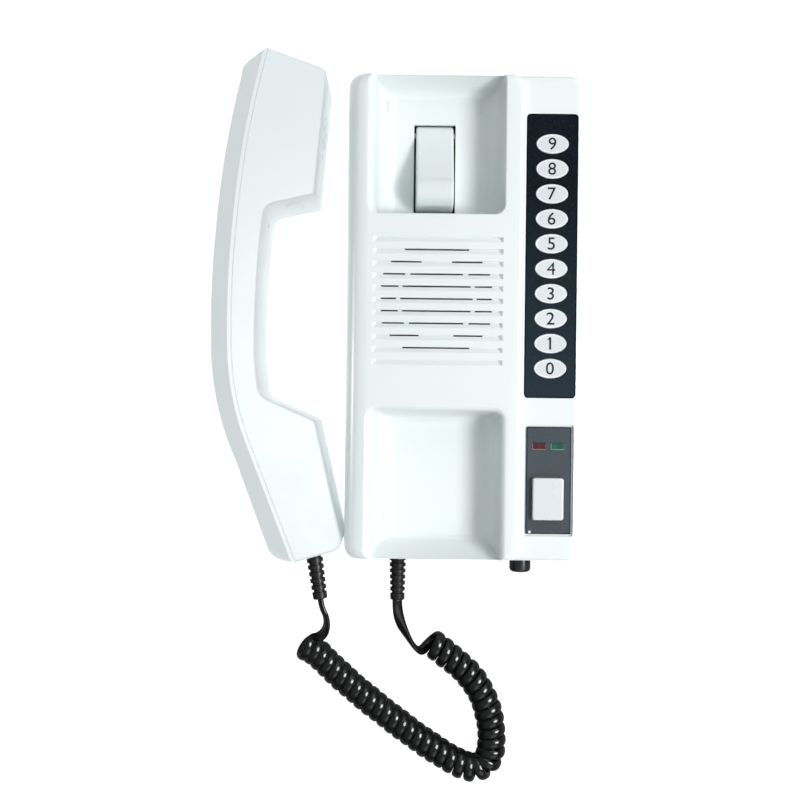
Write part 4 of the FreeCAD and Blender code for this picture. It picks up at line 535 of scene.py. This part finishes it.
def dress_shell(node, material):
    """A node's own mesh with its corners joined, so that light runs smoothly round its edges."""
    source = frame["nodes"][node]
    bm = bmesh.new()
    bm.from_mesh(source.data)
    bmesh.ops.remove_doubles(bm, verts=bm.verts, dist=MERGE)
    smooth_faces(bm, CREASE)
    mesh = mesh_from(bm, node + "_skin")
    if "custom_normal" in mesh.attributes:
        mesh.attributes.remove(mesh.attributes["custom_normal"])
    mesh.materials.clear()
    made = add_piece(node + "_skin", mesh, [material], source["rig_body"], (node,))
    even = made.modifiers.new("even light", "WEIGHTED_NORMAL")
    even.keep_sharp = True
    return made


def paint_node(node, material):
    target = frame["nodes"][node]
    target.data.materials.clear()
    target.data.materials.append(material)


def ring_edges(ring):
    return {edge for vert in ring for edge in vert.link_edges if edge.other_vert(vert) in ring}


def key_cap(digit):
    """An oval key: flange, straight wall, rolled rim, and a face a little lower than the rim."""
    node = "digit_key_" + str(digit)
    middle, half = spot(node)
    cap = (half.x - KEY_FLANGE[0], half.y - KEY_FLANGE[1])
    foot, top = middle.z - half.z, middle.z + half.z
    shoulder = foot + KEY_FLANGE_THICK
    levels = [(*KEY_FLANGE, foot), (*KEY_FLANGE, shoulder), (0.0, 0.0, shoulder)]
    levels += [(-inside, -inside, top - below) for inside, below in KEY_ROLL]
    bm = bmesh.new()
    rings = []
    for more_x, more_y, z in levels:
        place = Matrix.Translation(Vector((middle.x, middle.y, z)) * MM)
        place = place @ Matrix.Diagonal(((cap[0] + more_x) * MM, (cap[1] + more_y) * MM, 1.0, 1.0))
        rings.append(bmesh.ops.create_circle(bm, segments=KEY_SIDES, radius=1.0, matrix=place)["verts"])
    for low, high in zip(rings, rings[1:]):
        bmesh.ops.bridge_loops(bm, edges=list(ring_edges(low) | ring_edges(high)))
    bottom = bm.faces.new(rings[0])
    face = bm.faces.new(rings[-1])
    face.material_index = 1
    band = bmesh.ops.inset_region(bm, faces=[face], thickness=KEY_FACE_BAND * MM, depth=0.0)
    for vert in face.verts:
        vert.co.z += KEY_FACE_RISE * MM
    for slope in band["faces"]:
        slope.material_index = 1
    bmesh.ops.recalc_face_normals(bm, faces=bm.faces)
    smooth_faces(bm, KEY_CREASE)
    bottom.smooth = False
    name = "key_cap_" + str(digit)
    # Flange, wall and rim are painted whiter than the face, a painted highlight along the rolled rim.
    add_piece(name, mesh_from(bm, name), [KEY_RIM_HIGHLIGHT, KEY_FACE], "key_" + str(digit), (node,))
    print_digit(digit, middle.x, middle.y, top - DIGIT_DROP)


def digit_mesh(name, digit, x, y, z):
    """A printed digit as a thin solid shape, with its middle at the place given."""
    curve = bpy.data.curves.new(name, "FONT")
    curve.body = str(digit)
    curve.align_x = "CENTER"
    curve.size = 1.0
    curve.offset = 0.0 if digit == 4 else DIGIT_WEIGHT  # a heavier outline closes the middle of the 4
    curve.extrude = 0.5
    curve.resolution_u = 6
    maker = bpy.data.objects.new(name, curve)
    bpy.context.scene.collection.objects.link(maker)
    mesh = bpy.data.meshes.new_from_object(maker.evaluated_get(bpy.context.evaluated_depsgraph_get()))
    bpy.data.objects.remove(maker)
    xs = [vert.co.x for vert in mesh.vertices]
    ys = [vert.co.y for vert in mesh.vertices]
    size = DIGIT_HEIGHT / (max(ys) - min(ys))
    middle = Vector(((max(xs) + min(xs)) / 2, (max(ys) + min(ys)) / 2, 0))
    place = Matrix.Translation(Vector((x, y, z)) * MM)
    place = place @ Matrix.Diagonal((size * DIGIT_WIDEN * MM, size * MM, DIGIT_THICK * MM, 1.0))
    mesh.transform(place @ Matrix.Translation(-middle))
    mesh.materials.clear()
    return mesh


def add_flag(mesh, x, y, z):
    """Adds the short stroke at the head of a 1."""
    bm = bmesh.new()
    bm.from_mesh(mesh)
    place = Matrix.Translation(Vector((x, y, z)) * MM) @ Matrix.Rotation(math.radians(FLAG_TURN), 4, "Z")
    place = place @ Matrix.Diagonal((FLAG_SIZE[0] * MM, FLAG_SIZE[1] * MM, DIGIT_THICK * MM, 1.0))
    bmesh.ops.create_cube(bm, size=1.0, matrix=place)
    bm.to_mesh(mesh)
    bm.free()


def print_digit(digit, x, y, z):
    name = "digit_" + str(digit)
    mesh = digit_mesh(name, digit, x + DIGIT_SHIFT[0], y + DIGIT_SHIFT[1], z)
    if digit == 1:
        add_flag(mesh, x + FLAG_SHIFT[0], y + FLAG_SHIFT[1], z)
    add_piece(name, mesh, [PRINT_BLACK], "key_" + str(digit))


# ---------------------------------------------------------------- cord

# Control points of the coil's axis, from the handset end, and of the two tails from their boots.
COIL_AXIS = [
    (-68.9, -147.0, 8.6), (-65.9, -148.5, 7.2), (-61.9, -152.2, 6.1), (-54.9, -159.1, 5.75),
    (-45.0, -167.8, 5.75), (-31.1, -178.7, 5.75), (-17.3, -188.9, 5.75), (-6.1, -196.2, 5.75),
    (2.1, -200.8, 5.75), (8.6, -202.8, 5.75), (13.8, -200.5, 5.75), (16.1, -195.3, 5.75),
    (16.5, -188.5, 5.75), (15.7, -180.1, 5.75), (12.5, -169.5, 5.75), (5.6, -159.2, 5.75),
    (-3.3, -152.0, 5.75), (-11.9, -145.3, 5.75),
]
BASE_TAIL = [
    (-27.2, -124.4, 18.0), (-27.2, -128.8, 18.0), (-25.6, -135.9, 14.5), (-21.8, -143.6, 9.8),
    (-18.4, -148.3, 8.2),
]
HANDSET_TAIL = [
    (-61.1, -123.57, 23.2), (-60.49, -127.52, 23.2), (-58.3, -131.6, 22.9), (-58.2, -137.2, 20.6),
    (-61.2, -141.9, 16.2),
]
COIL_START = 65.0  # degrees round the axis: 0 is its left side seen from the handset end, 90 its top
COIL_TURNS = 36.765
COIL_RADIUS = 5.1
COIL_WAVER = (0.08, 61.0)  # height and pace of the radius's slow change along the coil
COIL_FLARE = (0.35, 40.0)  # how much wider the first turn is, and how soon that ends
LOOSE_ENDS = (0.12, 0.06)  # how much wider apart the turns are at the handset's and the base's end
LOOSE_FALL = 25.0  # how soon that ends
CLOSE_START = 0.055  # share by which turns lie closer at the handset's end, and wider at the base's
COIL_STEP = 0.15
COIL_SMOOTH = 24  # points of the curve for each control point

CORD_WIDTH = 4.65
CORD_THICK = (2.3, 2.85)  # in the tails and in the coil
CORD_SIDES = 16
CORD_SQUARENESS = 2.15  # power of the section's outline, 2 being an ellipse
THICKENS_OVER = 6.0  # length of tail in which the cord gets as thick as in the coil
TAIL_STEP = 0.4
TAIL_SMOOTH = 20
TAIL_LEAD = 3.2  # of the last control point before the coil, along the coil's own line
HANDSET_TWIST_LATE = 2.4
HANDSET_FLAT_SIDE = (-0.9, 0.0, 0.35)
BASE_FLAT_SIDE = (0.35, 0.0, 0.9)


def spline_points(points, steps):
    """Points of the smooth curve that takes these as its control points."""
    curve = bpy.data.curves.new("route", "CURVE")
    curve.dimensions = "3D"
    curve.resolution_u = steps
    spline = curve.splines.new("NURBS")
    spline.points.add(len(points) - 1)
    for point, place in zip(spline.points, points):
        point.co = (*place, 1.0)
    spline.order_u = 3
    spline.use_endpoint_u = True
    holder = bpy.data.objects.new("route", curve)
    mesh = bpy.data.meshes.new_from_object(holder)
    found = [vert.co.copy() for vert in mesh.vertices]
    bpy.data.objects.remove(holder)
    return found


def even_points(line, step):
    """The same line with its points at even distances."""
    reach = [0.0]
    for a, b in zip(line, line[1:]):
        reach.append(reach[-1] + (b - a).length)
    count = max(2, round(reach[-1] / step))
    found = []
    k = 0
    for i in range(count + 1):
        at = reach[-1] * i / count
        while k < len(reach) - 2 and reach[k + 1] < at:
            k += 1
        share = (at - reach[k]) / max(reach[k + 1] - reach[k], 1e-9)
        found.append(line[k].lerp(line[k + 1], min(max(share, 0.0), 1.0)))
    return found


def way_ahead(line, i):
    """Direction of a line at its point i."""
    return (line[min(i + 1, len(line) - 1)] - line[max(i - 1, 0)]).normalized()


def square_to(side, ahead):
    """The part of side that is square to ahead, one unit long."""
    return (side - ahead * side.dot(ahead)).normalized()


def turn_pace(share):
    """How closely the turns follow each other at each share of the coil."""
    first, last = LOOSE_ENDS
    loose = first * math.exp(-share * LOOSE_FALL) + last * math.exp(-(1 - share) * LOOSE_FALL)
    return 1.0 + CLOSE_START * math.cos(math.pi * share) - loose


def coil_radius(share):
    waver = COIL_WAVER[0] * math.sin(share * COIL_WAVER[1])
    return COIL_RADIUS + waver + COIL_FLARE[0] * math.exp(-share * COIL_FLARE[1])


def coil_line():
    """Centreline of the coiled stretch and the outward side of its flat section at each point."""
    axis = even_points(spline_points(COIL_AXIS, COIL_SMOOTH), COIL_STEP)
    last = len(axis) - 1
    paces = [turn_pace(i / last) for i in range(last + 1)]
    whole = sum(paces)
    angle = math.radians(COIL_START)
    line = []
    outward = []
    for i, point in enumerate(axis):
        ahead = way_ahead(axis, i)
        side = ahead.cross(Vector((0, 0, 1))).normalized()
        up = side.cross(ahead).normalized()
        out = side * -math.cos(angle) + up * math.sin(angle)
        line.append(point + out * coil_radius(i / last))
        outward.append(out)
        angle += 2 * math.pi * COIL_TURNS * paces[i] / whole
    return line, outward


def tail_line(points, meet, onward, outside, plain, late=1.0):
    """A stretch of cord from a boot to the coil, and its flat side at each point.

    The flat side is plain at the boot and outside at the coil. Where late is more than 1, most of
    the twist between them is near the coil.
    """
    route = [Vector(place) for place in points] + [meet - onward * TAIL_LEAD, meet]
    line = even_points(spline_points(route, TAIL_SMOOTH), TAIL_STEP)
    last = len(line) - 1
    aheads = [way_ahead(line, i) for i in range(last + 1)]
    sides = [square_to(plain, aheads[0])]
    for ahead in aheads[1:]:
        sides.append(square_to(sides[-1], ahead))
    goal = square_to(outside, aheads[-1])
    twist = math.atan2(aheads[-1].dot(sides[-1].cross(goal)), sides[-1].dot(goal))
    turned = []
    for i, (side, ahead) in enumerate(zip(sides, aheads)):
        share = (i / last) ** late
        share = share * share * (3 - 2 * share)  # starts and ends gently
        turned.append(Matrix.Rotation(twist * share, 3, ahead) @ side)
    return line, turned


def cord_ring(bm, point, ahead, side, thick):
    """One ring of the cord's flattened section."""
    out = square_to(side, ahead)
    place = Matrix((ahead.cross(out), out, ahead)).transposed().to_4x4()
    place.translation = point
    flat = Matrix.Diagonal((CORD_WIDTH / 2, thick / 2, 1.0, 1.0))
    ring = bmesh.ops.create_circle(bm, segments=CORD_SIDES, radius=1.0)["verts"]
    for vert in ring:
        full = abs(vert.co.x) ** CORD_SQUARENESS + abs(vert.co.y) ** CORD_SQUARENESS
        vert.co = place @ flat @ (vert.co / full ** (1 / CORD_SQUARENESS))
    return ring


def make_cord():
    """The whole cord as one piece, from the base's boot along the coil to the handset's boot."""
    coil, outward = coil_line()
    start = (coil[1] - coil[0]).normalized()
    end = (coil[-2] - coil[-1]).normalized()
    flat = Vector(HANDSET_FLAT_SIDE)
    far, far_sides = tail_line(HANDSET_TAIL, coil[0], start, outward[0], flat, HANDSET_TWIST_LATE)
    near, near_sides = tail_line(BASE_TAIL, coil[-1], end, outward[-1], Vector(BASE_FLAT_SIDE))
    line = near[:-1] + list(reversed(coil)) + list(reversed(far[:-1]))
    sides = near_sides[:-1] + list(reversed(outward)) + list(reversed(far_sides[:-1]))
    bm = bmesh.new()
    rings = []
    for i, point in enumerate(line):
        apart = max(len(near) - 1 - i, i - len(near) - len(coil) + 1, 0) * TAIL_STEP
        share = max(0.0, 1.0 - apart / THICKENS_OVER)
        thick = CORD_THICK[0] + (CORD_THICK[1] - CORD_THICK[0]) * share
        rings.append(cord_ring(bm, point, way_ahead(line, i), sides[i], thick))
    for low, high in zip(rings, rings[1:]):
        for k in range(CORD_SIDES):
            j = (k + 1) % CORD_SIDES
            bm.faces.new((low[k], low[j], high[j], high[k]))
    bm.faces.new(list(reversed(rings[0])))
    bm.faces.new(rings[-1])
    bmesh.ops.scale(bm, vec=(MM, MM, MM), verts=bm.verts)
    bmesh.ops.recalc_face_normals(bm, faces=bm.faces)
    for face in bm.faces:
        face.smooth = len(face.verts) == 4
    cord = add_piece("curly_cord", mesh_from(bm, "curly_cord"), [SLEEVE], "base",
                     ("cord_tail_base", "cord_coil", "cord_tail_handset"))


# ---------------------------------------------------------------- camera

VIEW_AT = (-0.02703, -0.03572, 0.572)
VIEW_TURN = 0.659  # degrees
VIEW_WIDTH = 800.0  # of the picture, in pixels
VIEW_FOCUS = 1245.6  # focal length, in the same pixels
SENSOR_WIDTH = 36.0


def view_camera():
    """A camera that looks straight down."""
    eye = bpy.data.cameras.new("view")
    eye.sensor_width = SENSOR_WIDTH
    eye.lens = SENSOR_WIDTH * VIEW_FOCUS / VIEW_WIDTH
    eye.clip_start = 0.01
    holder = bpy.data.objects.new("view", eye)
    holder.location = VIEW_AT
    holder.rotation_euler = (0.0, 0.0, math.radians(VIEW_TURN))
    bpy.context.scene.collection.objects.link(holder)
    bpy.context.scene.camera = holder


# ---------------------------------------------------------------- put together

view_camera()
make_cord()

SHELLS = {
    "front_cover": WHITE,
    "rear_cover": WHITE,
    "handset_front": HANDSET_WHITE,
    "handset_back": HANDSET_WHITE,
    "hook_lever": WHITE_LEVER,
    "call_button": BUTTON_WHITE,
    "key_fascia": FASCIA_BLACK,
    "call_fascia": FASCIA_SLATE,
    "volume_knob": BLACK,
    "base_cord_boot": RUBBER,
    "handset_cord_boot": RUBBER,
    "lamp_window_red": RED_LENS,
    "lamp_window_green": GREEN_LENS,
    "rubber_feet": FOOT_RUBBER,
    "volume_shaft": STEEL,
    "power_inlet": BLACK,
    "grille_cloth": CLOTH,
    "speaker_cone": PAPER,
    "hook_pin": STEEL,
    "hook_spring": STEEL,
}
skins = {node: dress_shell(node, material) for node, material in SHELLS.items()}
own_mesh(skins["hook_spring"])

INNER = {
    STEEL: (
        "cover_screws", "speaker_screws", "key_board_screws", "board_screws", "handset_screws",
        "handset_weight",
    ),
    TIN: ("speaker_frame", "speaker_magnet", "speaker_clips", "radio_shield"),
    MAT_RUBBER: ("key_mat",),
    BOARD: ("main_board", "key_board"),
    CAN_BLUE: ("capacitors",),
    CLOUDED: ("lamp_diodes",),
    BLACK: ("hook_switch", "call_switch", "volume_pot", "earpiece", "microphone"),
    RUBBER: ("microphone_holder",),
}
for material, names in INNER.items():
    for node in names:
        paint_node(node, material)

for digit in range(10):
    key_cap(digit)


# ---------------------------------------------------------------- floor and light

LAMPS_AIM = (0.0, -0.03, 0.0)


def stage_floor():
    """A pale table with a glow of its own, so that it stays white all round the object."""
    bm = bmesh.new()
    bmesh.ops.create_grid(bm, x_segments=1, y_segments=1, size=3.0)
    bmesh.ops.translate(bm, verts=bm.verts, vec=(0, 0, TABLE))
    floor = bpy.data.objects.new("floor", mesh_from(bm, "floor"))
    bpy.context.scene.collection.objects.link(floor)
    glow = {"Emission Color": (1.0, 1.0, 1.0, 1.0), "Emission Strength": 0.93}
    made, tree, shader = new_material("pale floor", Roughness=0.9, Specular_IOR_Level=0.05, **glow)
    mottle = spread(tree, noise(tree, object_place(tree), scale=6.0), low=0.3, high=0.7)
    colour = blend(tree, mottle, (0.28, 0.28, 0.28, 1.0), (0.31, 0.31, 0.31, 1.0))
    feed(tree, colour, shader.inputs["Base Color"])
    floor.data.materials.append(made)
    return floor


def area_light(name, place, size, power):
    light = bpy.data.lights.new(name, "AREA")
    light.shape = "DISK"
    light.size = size
    light.energy = power
    lamp = bpy.data.objects.new(name, light)
    lamp.location = place
    lamp.rotation_euler = (Vector(LAMPS_AIM) - Vector(place)).to_track_quat("-Z", "Y").to_euler()
    bpy.context.scene.collection.objects.link(lamp)
    return lamp


def lights_only(lamp, pieces, alone=False):
    """Keeps a lamp's light to these pieces; alone leaves out the shadows of all others."""
    group = bpy.data.collections.new(lamp.name + "_lit")
    for piece in pieces:
        group.objects.link(piece)
    lamp.light_linking.receiver_collection = group
    if alone:
        lamp.light_linking.blocker_collection = group


def sky():
    """Soft room light, bright overhead and dim near the horizon."""
    world = bpy.data.worlds.new("studio")
    world.use_nodes = True
    tree = world.node_tree
    glow = tree.nodes["Background"]
    glow.inputs["Color"].default_value = (0.96, 0.99, 1.0, 1.0)
    rise = along_axes(tree)[1][2]
    feed(tree, spread(tree, rise, 0.0, 0.9, to_low=0.05, to_high=0.44, smooth=True), glow.inputs["Strength"])
    bpy.context.scene.world = world


def studio():
    """The floor and the lamps: handset, base and black parts each have their own share of light."""
    floor = stage_floor()
    handset = [skins["handset_front"], skins["handset_back"]]
    black = [skins[node] for node in ("base_cord_boot", "handset_cord_boot", "volume_knob")]
    black.append(bpy.data.objects["curly_cord"])
    meshes = [piece for piece in bpy.context.scene.objects if piece.type == "MESH"]
    pale = [piece for piece in meshes if piece not in handset and piece not in black]
    lights_only(floor, handset + pale)
    key = area_light("key_light", (0.70, -0.15, 0.87), size=0.36, power=9.3)
    lights_only(key, pale)
    soft = area_light("cord_light", (0.72, 0.08, 0.93), size=0.6, power=27.0)
    lights_only(soft, black)
    above = area_light("handset_light", (-0.06, -0.04, 1.12), size=0.5, power=5.7)
    lights_only(above, handset)
    low = area_light("side_light", (-1.0, -0.02, 0.04), size=0.12, power=2.6)
    lights_only(low, [skins["front_cover"], skins["rear_cover"]], alone=True)
    area_light("head_light", (0.4, 0.9, 0.8), size=0.9, power=3.4)
    area_light("foot_light", (0.4, -0.9, 0.8), size=0.9, power=2.7)
    sky()


studio()
bpy.context.scene.view_settings.view_transform = "Standard"
